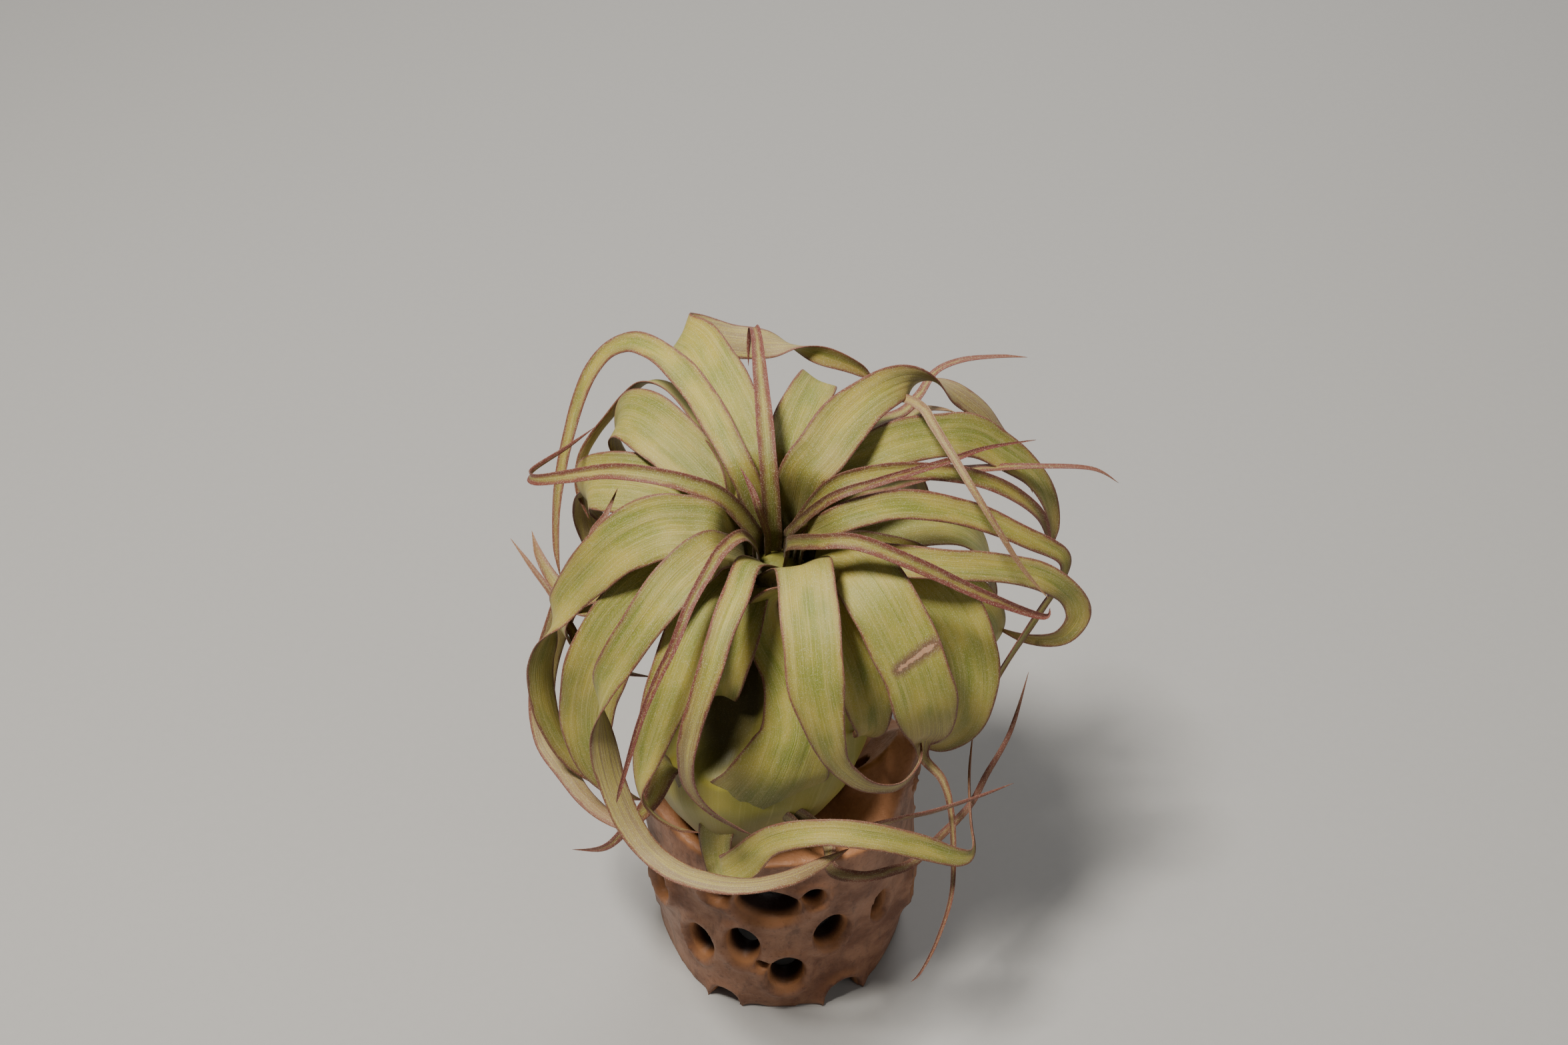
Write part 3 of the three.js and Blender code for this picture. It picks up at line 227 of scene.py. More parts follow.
    dict(name="leaf_left_pale", layer=8, aim=160, stations=[
        (-18, 8, -12, 14, 0), (-26.6, 12.4, -18, 18, 0), (-38.6, 16.4, -19, 20, 0),
        (-49.6, 17.6, -23, 19, 0), (-55.8, 16.6, -29, 17), (-56, 12, -35, 13), (-51, 7, -39, 8),
        (-44, 3, -42, 3)]),
    dict(name="leaf_left_far", layer=9, aim=134, stations=[
        (-13, 20, -10, 9), (-20.6, 33, -19, 9), (-29.8, 44, -28, 8.5), (-37.8, 47.4, -33, 8),
        (-43.8, 43.8, -38, 7.5), (-50, 36.4, -42, 7), (-54.2, 31, -45, 6.4), (-57.6, 24.4, -48, 5.4),
        (-58.6, 15.4, -52, 4), (-56, 6, -55, 1.4)]),
    dict(name="leaf_back_rolled", layer=8, aim=80, stations=[
        (3, 24, -9, 14, 0), (6, 34, -14, 15.5, 0), (9.6, 42.6, -21, 14.5, 0), (12.6, 47.4, -29, 12.5),
        (11.6, 46, -38, 10), (7, 41, -44, 6.4), (2, 36, -48, 2)]),
    dict(name="leaf_back_right_purple_tip", layer=8, aim=52, stations=[
        (17, 25, -12, 6), (28, 34, -18, 5.4), (38, 38.4, -23, 4.2), (43, 43.6, -26, 3.2),
        (48, 50.6, -29, 2.6), (56, 54, -31, 2.2), (66.8, 55, -34, 1.6), (75.4, 54.8, -38, 0.9)]),
    dict(name="leaf_far_right_tip", layer=8, aim=24, stations=[
        (22, 13, -3, 5.5), (36, 17, -8, 5), (50, 20.4, -14, 4.2), (61.8, 21.6, -18, 3.4),
        (77.6, 22.2, -21, 2.6), (94.6, 21.4, -26, 1.8), (102.8, 17.2, -30, 0.9)]),
    dict(name="leaf_back_brown_tip", layer=10, aim=44, stations=[
        (18, 20, -16, 10), (28, 28, -22, 9), (37, 34.4, -29, 6.5), (44, 38.8, -34, 4),
        (50, 39, -37, 2.4), (54.6, 38, -40, 1)]),
    dict(name="leaf_front_left_dark", layer=9, aim=-160, stations=[
        (-22, -9, 0, 16, 0), (-36, -15, 1, 20, 0), (-48, -27, -3, 20.5, 0), (-54.4, -41, -11, 20, 0),
        (-56.6, -54, -21, 17), (-54, -66, -29, 13), (-48, -74, -35, 8), (-40, -78, -39, 3)]),
    dict(name="leaf_left_small_tip", layer=7, aim=178, cup=CHANNEL_CUP, stations=[
        (-26, -1, 0, 4.5), (-42, -2, 2, 4), (-51, -1.6, 0, 3.6), (-54.6, 2.2, -2, 3),
        (-50.6, 8.2, -2, 2.2), (-47.2, 16, -3, 0.9)]),
    dict(name="leaf_left_horn", layer=10, aim=-166, stations=[
        (-31, -14, -13, 10), (-45, -20, -20, 10), (-58, -20, -27, 8), (-65.6, -13.6, -30, 5.4),
        (-70.8, -5.2, -34, 3.2), (-73.2, 2.8, -37, 1)]),
    dict(name="leaf_left_thin_tail", layer=13, aim=-151, stations=[
        (-31, -19.5, -10, 11), (-42, -34, -22, 11), (-53, -42, -36, 8), (-59, -31.4, -41, 4),
        (-66.6, -17.4, -43, 2.6), (-73, -8.6, -45, 1.8), (-79.6, 0.4, -47, 0.9)]),
    dict(name="leaf_left_outer", layer=12, aim=179, stations=[
        (-31, 1.5, -20, 13), (-42, 0, -27, 14), (-57, -10, -42, 12), (-66, -28, -53, 10),
        (-70, -46, -59, 9.4), (-69, -59, -58, 9), (-63.4, -68, -53, 8.4), (-57, -77, -47, 7),
        (-48, -84, -41, 5), (-38, -88, -37, 1.6)]),
    dict(name="leaf_front_sheath", layer=15, aim=-84, cup=SHEATH_CUP, root_depth=104, stations=[
        (1.6, -73, -10.8, 35), (5, -65, -7.2, 29), (7, -58, -6, 25), (6.6, -50, -5, 21),
        (3.6, -39, -4.2, 17), (-2, -28, -2.6, 13.5), (-3, -19, 3, 11.5), (4, -15, 9, 9.5),
        (11, -20, 12, 8), (16, -33, 12, 6), (19, -48, 8, 3.6), (21, -60, 2, 1.4)]),
    dict(name="leaf_front_left_inner", layer=8, aim=-122, stations=[
        (-7.4, -15, 4, 12, 0), (-11, -25, 6, 14.5, 0), (-14, -35, 3, 14.5, 0), (-16, -43, -4, 12.5),
        (-16, -46, -12, 9.5), (-13, -45, -18, 6), (-10, -42, -22, 2)]),
    dict(name="leaf_front_right_inner", layer=8, aim=-48, stations=[
        (14.5, -14, 3, 13, 0), (20, -25, 5, 17, 0), (25, -38, 2, 18, 0), (28, -49, -5, 15, 0),
        (28.6, -56, -14, 10), (26, -58, -21, 6), (23, -56, -26, 2)]),
    dict(name="leaf_bottom_front", layer=19, aim=-112, root_depth=112, stations=[
        (-17.5, -95, -40, 12), (-15.5, -100, -34, 12.5, 0), (-9.2, -96.2, -27, 11.5, 0),
        (-3.4, -91, -20, 10, 0), (4.2, -88.4, -13, 9, 0), (16.6, -87.4, -9, 8.6, 0),
        (30, -88.8, -10, 8.6, 0), (43.4, -91.8, -16, 8, 0), (55, -95, -24, 6), (59, -92.6, -29, 4.4),
        (58.2, -83.6, -33, 3), (57.8, -69.6, -37, 2.2), (59.6, -53.8, -41, 0.9)]),
    dict(name="leaf_bottom_right_tip", layer=15, aim=-72, root_depth=107, stations=[
        (8, -88, -31, 8), (18, -89, -25, 6.5), (29, -86, -20.5, 4.6), (38, -83.4, -19, 3.2),
        (48, -81.2, -20, 2.6), (61.4, -76.8, -21, 1.8), (71.4, -72.8, -24, 0.9)]),
    dict(name="leaf_bottom_right_long_tip", layer=19, aim=-66, root_depth=106, stations=[
        (15, -90, -38, 7), (16.6, -98.6, -32, 5), (25.6, -101, -28, 3.8), (34.6, -99.2, -27, 3.4),
        (41.6, -96.4, -29, 3.1), (48.8, -89.4, -34.5, 2.8), (58.2, -79.6, -39, 2.4),
        (63.2, -70.4, -38.5, 2.1), (70.4, -57.4, -38, 1.6), (75.8, -39.6, -38, 0.9)]),
    dict(name="leaf_bottom_left_dark_tip", layer=15, aim=-132, root_depth=94, stations=[
        (-33, -68, -13, 8.5), (-37, -77.5, -16, 6), (-44, -85.6, -22, 3.6), (-51.2, -92, -29, 2.4),
        (-61, -92.8, -37, 0.9)]),
]

# The leaves that fill the hidden back of the ball, older and lower than those in front of them.
# They follow one arch, turned round the mouth and varied by a seeded draw.
BACK_RINGS = [
    dict(layer=13, count=5, first_turn=22, last_turn=142, reach=76, rise=-10, fall=64, width=16),
    dict(layer=16, count=5, first_turn=8, last_turn=168, reach=66, rise=-21, fall=44, width=15),
]
# One arch: share of the reach, share of the way from the rise down the fall, and share of the width
BACK_ARCH = [
    (0.62, 0, 1), (0.82, 0.06, 1), (0.97, 0.24, 0.92), (1.03, 0.48, 0.76),
    (0.97, 0.74, 0.56), (0.8, 0.94, 0.36), (0.6, 1.02, 0.14),
]
BACK_REACH_SPREAD = 0.12
BACK_FALL_SPREAD = 0.2
BACK_SWAY_DEGREES = 14
DRAW_MULTIPLIER = 16807
DRAW_MODULUS = 2147483647
DRAW_START = 7
DRAWS_PER_LEAF = 3
DRAW_MIDDLE = 0.5

# The wood: a hollow, flat-footed tube with a spur at the right and holes of many sizes
WOOD_HEIGHT = 86
WOOD_DEPTH_SHARE = 0.85
WOOD_SPUR_HEIGHT = 27
WOOD_SPUR_TURN = math.radians(-13)
WOOD_SPUR_SPREAD = math.radians(26)
# Below the spur the upper wall is thick, so the bulb's right side meets solid wood
WOOD_SHOULDER_TURN = math.radians(-26)
WOOD_SHOULDER_SPREAD = math.radians(42)
# Waves that make the rim and the outside uneven: height, number round the wood, and phase or the
# height over which the wave turns by one radian
WOOD_RIM_WAVE = (2.5, 4, 1)
WOOD_LUMPS = [(1.3, 3, 17), (0.9, 5, -11)]
# Height up the wood and its outer radius there, and the wall's thickness
WOOD_PROFILE = [(0, 43.5), (14, 44), (34, 44.5), (60, 45.5), (80, 46), (120, 46.5)]
WOOD_WALL_PROFILE = [(0, 12), (40, 10), (60, 14), (76, 26), (84, 20), (92, 9), (120, 7)]
WOOD_SHOULDER_PROFILE = [(58, 0), (76, 8), (84, 14), (96, 14), (106, 5), (114, 1)]
# A hole's profile through the wall: share of its half size, and distance out from the wood's surface
WOOD_HOLE_PROFILE = [
    (0, -24), (0.85, -24), (0.95, -8), (1.05, -2.5), (1.3, 0.5), (1.8, 3.2), (2.6, 6), (0, 6)]
# Each hole: its turn round the wood in degrees, with the front at -90, its height, half width and
# half height
WOOD_HOLES = [
    (-96, 61, 8.6, 6.4), (-118, 65, 3.6, 4.6), (-107, 38, 4.6, 7), (-87, 22, 4.8, 7.4),
    (-67, 42, 4.7, 7.6), (-42, 46, 3, 6), (-128, 31, 4.2, 7), (-98, 28, 1.9, 2.4),
    (-76, 67, 3, 4), (-18, 98, 2.8, 3.6), (-150, 52, 4.6, 6.4),
    (178, 26, 5, 7), (-12, 38, 5, 7), (20, 56, 5.4, 7.4), (48, 29, 5, 7),
    (72, 58, 5.4, 7.6), (96, 28, 5, 7), (118, 56, 5.4, 7.6), (146, 34, 5.4, 7.4), (160, 64, 4, 5.2),
    (-116, 1, 3.8, 5), (-60, 2, 5.2, 6),
]


# Curves and tables

def cubic_through(values, place):
    """A smooth value through a row of numbers, by a Catmull-Rom cubic."""
    last = len(values) - 1
    index = min(int(place), last - 1)
    t = place - index
    before = values[max(index - 1, 0)]
    here = values[index]
    after_here = values[index + 1]
    after = values[min(index + 2, last)]
    bend = 3 * (here - after_here) + after - before
    turn = 2 * before - 5 * here + 4 * after_here - after
    return here + 0.5 * t * (after_here - before + t * (turn + t * bend))


def table_value(table, value):
    return float(np.interp(value, [row[0] for row in table], [row[1] for row in table]))


def across(vector, tangent):
    """The part of a vector that stands square to a tangent, one unit long."""
    left = vector - np.dot(vector, tangent) * tangent
    return left / np.linalg.norm(left)


# The funnel and the bulb

MOUTH_AXIS = np.array([0.0, -math.sin(MOUTH_LEAN), math.cos(MOUTH_LEAN)])
MOUTH_BACK = np.cross(MOUTH_AXIS, RIGHT)
BULB_LENGTH = BULB_PROFILE[-1][0]
BULB_CORNER = MOUTH - BULB_BEND * MOUTH_AXIS
BULB_DEPTHS_BY_RADIUS = [
    (radius, depth) for depth, radius in BULB_PROFILE if depth <= BULB_WIDEST_DEPTH]


def bulb_point(depth, radius, turn):
    """A point beside the bulb's curved axis, which bends from the mouth down to the bulb's foot."""
    place = depth / BULB_LENGTH
    rest = 1 - place
    centre = rest * rest * MOUTH + 2 * rest * place * BULB_CORNER + place * place * BULB_FOOT
    slope = min(place, 1)
    axis = (1 - slope) * (MOUTH - BULB_CORNER) + slope * (BULB_CORNER - BULB_FOOT)
    back = np.cross(axis / np.linalg.norm(axis), RIGHT)
    return centre + radius * math.cos(turn) * RIGHT + radius * math.sin(turn) * back


# The leaves' middle lines

def view_point(right, up, near):
    scale = 1 - near / VIEW_DISTANCE
    return MOUTH + right * scale * RIGHT + up * scale * UP + near * NEAR


def neck_stations(leaf, first_width):
    """The hidden lower end of a leaf: out of the bulb, up its own layer of the funnel."""
    turn = math.radians(leaf["aim"])
    radius = FUNNEL_RADIUS + LAYER_PITCH * leaf["layer"]
    layer = leaf["layer"]
    flare_depth = FIRST_FLARE_DEPTH + LAYER_DROP * layer + OUTER_LAYER_DROP * layer * layer
    bulb_depth = table_value(BULB_DEPTHS_BY_RADIUS, radius)
    inward = -math.cos(turn) * RIGHT - math.sin(turn) * MOUTH_BACK
    width = min(first_width, NECK_WIDTH_PER_RADIUS * radius, MOST_NECK_WIDTH)
    levels = [
        (bulb_depth + NECK_SINK, radius - NECK_TUCK),
        ((bulb_depth + flare_depth) / 2, radius),
        (flare_depth, radius + FLARE_LEAN),
    ]
    if "root_depth" in leaf:
        width = first_width
        root = leaf["root_depth"]
        foot = root + NECK_SINK
        levels = [
            (foot, table_value(BULB_PROFILE, foot) - ROOT_SINK),
            (root - NECK_SINK, table_value(BULB_PROFILE, root) + ROOT_LIFT),
        ]
    stations = []
    for depth, distance in levels:
        cup = ROOT_CUP if "root_depth" in leaf else NECK_WRAP * width / distance
        stations.append(dict(
            point=bulb_point(depth, distance, turn), width=width, cup=cup, inward=inward))
    return stations


def blade_stations(leaf):
    cup = leaf.get("cup", BLADE_CUP)
    stations = []
    for right, up, near, width, *facing in leaf["stations"]:
        stations.append(dict(
            point=view_point(right, up, near), width=width, cup=cup,
            facing=facing[0] if facing else None))
    return stations


def back_leaves():
    state = DRAW_START
    draws = []
    for _ in range(DRAWS_PER_LEAF * sum(ring["count"] for ring in BACK_RINGS)):
        state = (state * DRAW_MULTIPLIER) % DRAW_MODULUS
        draws.append(state / DRAW_MODULUS - DRAW_MIDDLE)
    leaves = []
    for number, ring in enumerate(BACK_RINGS):
        for index in range(ring["count"]):
            share = index / (ring["count"] - 1)
            aim = ring["first_turn"] + (ring["last_turn"] - ring["first_turn"]) * share
            reach = ring["reach"] * (1 + BACK_REACH_SPREAD * draws.pop(0))
            fall = ring["fall"] * (1 + BACK_FALL_SPREAD * draws.pop(0))
            sway = BACK_SWAY_DEGREES * draws.pop(0)
            stations = []
            for out, down, width_share in BACK_ARCH:
                turn = math.radians(aim + sway * out)
                stations.append(dict(
                    point=MOUTH + np.array([
                        reach * out * math.cos(turn), reach * out * math.sin(turn),
                        ring["rise"] - fall * down]),
                    width=ring["width"] * width_share, cup=BLADE_CUP, facing=None))
            leaves.append(dict(
                name=f"leaf_behind_{number + 1}_{index + 1}", layer=ring["layer"], aim=aim,
                blade=stations))
    return leaves


def station_twists(stations, tangents, rolled):
    """How far the leaf turns away from its rolled frame at each station: what its facing asks for,
    or, where it states none, a value between those of its neighbours."""
    twists = []
    for station, tangent, base in zip(stations, tangents, rolled):
        if "inward" in station:
            twists.append(0.0)
        elif station["facing"] is None:
            twists.append(None)
        elif np.linalg.norm(np.cross(NEAR, tangent)) < LEAST_FACED:
            twists.append(None)
        else:
            facing = math.radians(station["facing"])
            faced = across(NEAR, tangent)
            faced = faced * math.cos(facing) + np.cross(tangent, faced) * math.sin(facing)
            twists.append(math.atan2(np.dot(faced, np.cross(tangent, base)), np.dot(faced, base)))
    known = [index for index, twist in enumerate(twists) if twist is not None]
    values = np.unwrap([twists[index] for index in known])
    return np.interp(range(len(stations)), known, values)


class Strip:
    """A leaf's middle line in closely spaced rows: points, widths, cups and frames, in millimetres."""

    def __init__(self, leaf, steps):
        blade = leaf.get("blade") or blade_stations(leaf)
        stations = neck_stations(leaf, blade[0]["width"]) + blade
        last = len(stations) - 1
        self.places = np.arange(last * steps + 1) / steps
        self.points = np.array([
            [cubic_through([s["point"][axis] for s in stations], place) for axis in range(3)]
            for place in self.places])
        self.widths = np.array([
            cubic_through([s["width"] for s in stations], place) for place in self.places])
        self.cups = np.array([
            cubic_through([s["cup"] for s in stations], place) for place in self.places])
        ends = np.vstack([self.points[:1], self.points, self.points[-1:]])
        steps_between = ends[2:] - ends[:-2]
        self.tangents = steps_between / np.linalg.norm(steps_between, axis=1)[:, None]
        rolled = [across(stations[0]["inward"], self.tangents[0])]
        for tangent in self.tangents[1:]:
            rolled.append(across(rolled[-1], tangent))
        rolled = np.array(rolled)
        twists = station_twists(stations, self.tangents[::steps], rolled[::steps])
        turn = np.array([cubic_through(twists, place) for place in self.places])[:, None]
        sideways = np.cross(self.tangents, rolled)
        self.normals = rolled * np.cos(turn) + sideways * np.sin(turn)
        self.sides = np.cross(self.tangents, self.normals)
        lengths = np.linalg.norm(np.diff(self.points, axis=0), axis=1)
        self.along = np.concatenate([[0.0], np.cumsum(lengths)])
        self.share = self.along / self.along[-1]
        self.neck_share = self.share[steps * (len(stations) - len(blade))]


# Meshes

class Build:
    """Vertices, faces and per-vertex values that grow together and become one mesh object, which
    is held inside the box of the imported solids."""

    def __init__(self):
        self.blocks = []
        self.faces = []
        self.values = {}
        self.count = 0

    def add(self, points, faces, **values):
        self.blocks.append(points)
        self.faces.extend([[index + self.count for index in face] for face in faces])
        for name, value in values.items():
            spread = np.broadcast_to(np.asarray(value, dtype=float), (len(points),))
            self.values.setdefault(name, []).append(spread)
        self.count += len(points)

    def to_object(self, name, material):
        points = np.clip((np.vstack(self.blocks) + CENTRING) * MM, *cad_bounds)
        mesh = bpy.data.meshes.new(name)
        mesh.from_pydata(points.tolist(), [], self.faces)
        for key, parts in self.values.items():
            set_values(mesh, key, np.concatenate(parts))
        return place_mesh(name, mesh, material)


def set_values(mesh, name, values):
    layer = mesh.attributes.new(name, "FLOAT", "POINT")
    layer.data.foreach_set("value", np.asarray(values, dtype=np.float32))


def ring_faces(rows, sides, closed=False):
    """Four-cornered faces between rings of points; closed joins the last ring to the first."""
    faces = []
    for row in range(rows if closed else rows - 1):
        here = row * sides
        there = (row + 1) % rows * sides
        for side in range(sides):
            after = (side + 1) % sides
            faces.append([here + side, here + after, there + after, there + side])
    return faces


def tube_faces(rows, sides):
    """Ring faces with a flat face on both ends."""
    start = list(range(sides))[::-1]
    end = [(rows - 1) * sides + side for side in range(sides)]
    return [start, end] + ring_faces(rows, sides)


def place_mesh(name, mesh, material):
    mesh.shade_smooth()
    mesh.materials.append(material)
    piece = bpy.data.objects.new(name, mesh)
    bpy.context.scene.collection.objects.link(piece)
    return piece


# Leaves

# Steps between two stations, and faces across one side of a leaf
STRIP_STEPS = 8
LEAF_FACES_ACROSS = 14
CUP_ROUNDING = 1.6
THINNEST_WIDTH = 0.9
# Dressed with its fine edges a channelled leaf is this much narrower than its plain solid
CHANNEL_WIDTH_SHARE = 0.8
DRY_LEAF = "leaf_dry_diagonal"
DRY_WIDTH_SHARE = 0.65
THINNEST_RING = 0.06
THIN_LEAF_WIDTH = 6
THIN_LEAF_THICKNESS_SHARE = 0.45
TIP_TAPER_STATIONS = 0.8
TIP_TAPER_POWER = 0.7
# The last part of a leaf rolls its edges in by this much more cup
TIP_ROLL_START = 0.6
TIP_ROLL_CUP = 0.35
EDGE_ROUNDING = 0.6
# The edges of a leaf wave a little: height as a share of the half width, and wavelength
EDGE_WAVE_SHARE = 0.05
EDGE_WAVE_LENGTH = 34
WIDTH_WAVE_SHARE = 0.02
WIDTH_WAVE_LENGTH = 21
EDGE_LENGTH_SPREAD = (0.7, 1.3)
# The painted shade inside the funnel reaches this share of a neck's length
FUNNEL_SHADE_REACH = 1.5
THINNEST_TAPER = 0.2
MOST_VARIETY = 10

# How red, how dry at the tip and how aged a leaf is, from 0 to 1. Others are PLAIN_TINT.
PLAIN_TINT = (0.12, 0.0, 0.15)
LEAF_TINTS = {
    "leaf_right_red": (1.0, 0.1, 0.0),
    "leaf_crossing_red": (1.0, 0.1, 0.0),
    "leaf_heart_tip": (1.0, 0.0, 0.0),
    "leaf_front_left_red": (1.0, 0.1, 0.0),
    "leaf_back_channel": (0.9, 0.1, 0.0),
    "leaf_front_narrow": (0.35, 0.1, 0.0),
    "leaf_left_channel": (0.7, 0.1, 0.0),
    "leaf_right_channel": (0.5, 0.1, 0.0),
    "leaf_right_arching": (0.3, 0.1, 0.0),
    "leaf_back_left_arching": (0.25, 0.2, 0.1),
    "leaf_front_left_strap": (0.15, 0.2, 0.15),
    "leaf_dry_diagonal": (0.4, 0.7, 0.75),
    "leaf_back_right_strap": (0.35, 0.3, 0.1),
    "leaf_left_small_tip": (0.9, 0.3, 0.2),
    "leaf_left_horn": (0.3, 0.6, 0.3),
    "leaf_left_thin_tail": (0.6, 0.5, 0.3),
    "leaf_far_right_tip": (0.9, 0.2, 0.1),
    "leaf_back_right_purple_tip": (0.8, 0.2, 0.1),
    "leaf_back_brown_tip": (0.3, 1.0, 0.5),
    "leaf_bottom_right_tip": (0.9, 0.1, 0.1),
    "leaf_bottom_right_long_tip": (0.9, 0.2, 0.2),
    "leaf_bottom_left_dark_tip": (1.0, 0.1, 0.1),
    "leaf_right_loop": (0.15, 0.1, 0.2),
    "leaf_front_sheath": (0.05, 0.2, 0.1),
    "leaf_left_outer": (0.3, 0.3, 0.15),
    "leaf_bottom_front": (0.12, 0.4, 0.2),
}
# The leaves whose curled end shows the fuzzy underside, and the share of their length over which
# the upper side gives way to it
TURNED_ENDS = {
    "leaf_front_strap": (0.6, 0.78),
    "leaf_left_outer": (0.4, 0.6),
    "leaf_right_scarred": (0.44, 0.52),
    "leaf_back_right_strap": (0.5, 0.62),
    "leaf_front_left_strap": (0.5, 0.9),
    "leaf_front_narrow": (0.45, 0.75),
}
NEVER_TURNED = (2.0, 3.0)
# The tails that roll up into a narrow channel, and the share of their length over which they do
ROLLED_TAILS = {
    "leaf_right_scarred": (0.47, 0.55),
    "leaf_bottom_front": (0.72, 0.8),
}
ROLLED_NARROWING = 0.4
ROLLED_CUP = 0.4
# The outer side of these is as smooth and green as the inner one
SMOOTH_BACKED = ["leaf_front_sheath", "leaf_left_broad"]
# Where the scar on one leaf starts and ends, in mm along it and across it from its middle line
SCARRED_LEAF = "leaf_right_scarred"
SCAR_START = (67.4, 4.1)
SCAR_END = (64.3, -7.8)


def leaf_rows(leaf, strip, draw):
    """A leaf's width, cup and edge waves along its length, on top of its strip."""
    left = strip.places[-1] - strip.places
    taper = np.clip(left / TIP_TAPER_STATIONS, 0, 1) ** TIP_TAPER_POWER
    width_phase = draw.uniform(0, math.tau)
    wave = np.sin(math.tau * strip.along / WIDTH_WAVE_LENGTH + width_phase)
    narrowing = CHANNEL_WIDTH_SHARE if leaf.get("cup") == CHANNEL_CUP else 1
    if leaf["name"] == DRY_LEAF:
        narrowing = DRY_WIDTH_SHARE
    full_widths = np.maximum(strip.widths * narrowing, THINNEST_WIDTH)
    widths = full_widths * (1 - WIDTH_WAVE_SHARE * (1 + wave))
    rolled_in = np.clip((strip.share - TIP_ROLL_START) / (1 - TIP_ROLL_START), 0, 1)
    rolled_up = np.interp(strip.share, ROLLED_TAILS.get(leaf["name"], NEVER_TURNED), (0, 1))
    widths = widths * (1 - ROLLED_NARROWING * rolled_up)
    cups = strip.cups + TIP_ROLL_CUP * rolled_in * rolled_in + ROLLED_CUP * rolled_up
    waves = []
    for _ in (-1, 1):
        length = EDGE_WAVE_LENGTH * draw.uniform(*EDGE_LENGTH_SPREAD)
        phase = draw.uniform(0, math.tau)
        waves.append(np.sin(math.tau * strip.along / length + phase))
    fade = np.clip((strip.share - strip.neck_share) / strip.neck_share, 0, 1)
    return widths * taper, cups, [wave * fade * EDGE_WAVE_SHARE for wave in waves], taper


def leaf_piece(leaf, material, sizes):
    """One leaf: an arched blade, thickest along its middle and thin at its edges."""
    draw = Random(leaf["name"])
    strip = Strip(leaf, STRIP_STEPS)
    widths, cups, waves, taper = leaf_rows(leaf, strip, draw)
    halves = np.maximum(widths / 2, THINNEST_RING)
    angles = np.linspace(0, math.pi, LEAF_FACES_ACROSS + 1)
    steps = np.concatenate([-np.cos(angles), np.cos(angles[1:-1])])
    facing = np.concatenate([np.ones(len(angles)), -np.ones(len(angles) - 2)])
    bulge = np.abs(np.concatenate([np.sin(angles), np.sin(angles[1:-1])])) ** EDGE_ROUNDING
    narrow = np.clip(widths / THIN_LEAF_WIDTH, THIN_LEAF_THICKNESS_SHARE, 1)
    thickness = sizes.leaf_thickness / MM * narrow * np.maximum(taper, THINNEST_TAPER)
    left_edge = np.clip(-steps, 0, 1) ** 2
    right_edge = np.clip(steps, 0, 1) ** 2
    lift = halves[:, None] * (
        cups[:, None] * np.abs(steps) ** CUP_ROUNDING
        + waves[0][:, None] * left_edge + waves[1][:, None] * right_edge)
    height = lift + thickness[:, None] / 2 * bulge * facing
    offsets = halves[:, None] * steps
    points = (
        strip.points[:, None, :]
        + strip.sides[:, None, :] * offsets[:, :, None]
        + strip.normals[:, None, :] * height[:, :, None]).reshape(-1, 3)
    ring = len(steps)
    rows = len(strip.points)
    redness, dryness, age = LEAF_TINTS.get(leaf["name"], PLAIN_TINT)
    margin = halves[:, None] * (1 - np.abs(steps))
    upper = np.ones(ring) if leaf["name"] in SMOOTH_BACKED else (facing + 1) / 2
    # Painted shade: how far down in the funnel a row lies, where the necks are painted dark
    funnel_painted_shade = np.clip(1 - strip.share / (strip.neck_share * FUNNEL_SHADE_REACH), 0, 1)
    turned = np.interp(strip.share, TURNED_ENDS.get(leaf["name"], NEVER_TURNED), (0, 1))
    build = Build()
    build.add(
        points, tube_faces(rows, ring), turned=np.repeat(turned, ring),
        along=np.repeat(strip.along, ring), across=np.tile(steps, rows),
        share=np.repeat(strip.share, ring), margin=margin.ravel(), offset=offsets.ravel(),
        upper=np.tile(upper, rows), funnel=np.repeat(funnel_painted_shade, ring),
        redness=redness, dryness=dryness, age=age, variety=draw.uniform(0, MOST_VARIETY))
    piece = build.to_object(leaf["name"].replace("leaf_", "blade_"), material)
    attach(piece, "root")
    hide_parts(leaf["name"])
    return piece


# The fine hairs along the leaves' edges

HAIR_SIDES = 3
HAIR_SINK = 0.05
# How far a hair leans from straight out, across the leaf and along it, and the spread of lengths
HAIR_LEAN = (-0.7, 0.7)
HAIR_SWEEP = (-0.6, 0.9)
HAIR_LENGTH_SPREAD = (0.6, 1.2)
# How far a hair may stand from its even place, as a share of the spacing
HAIR_JITTER = (-0.5, 0.5)


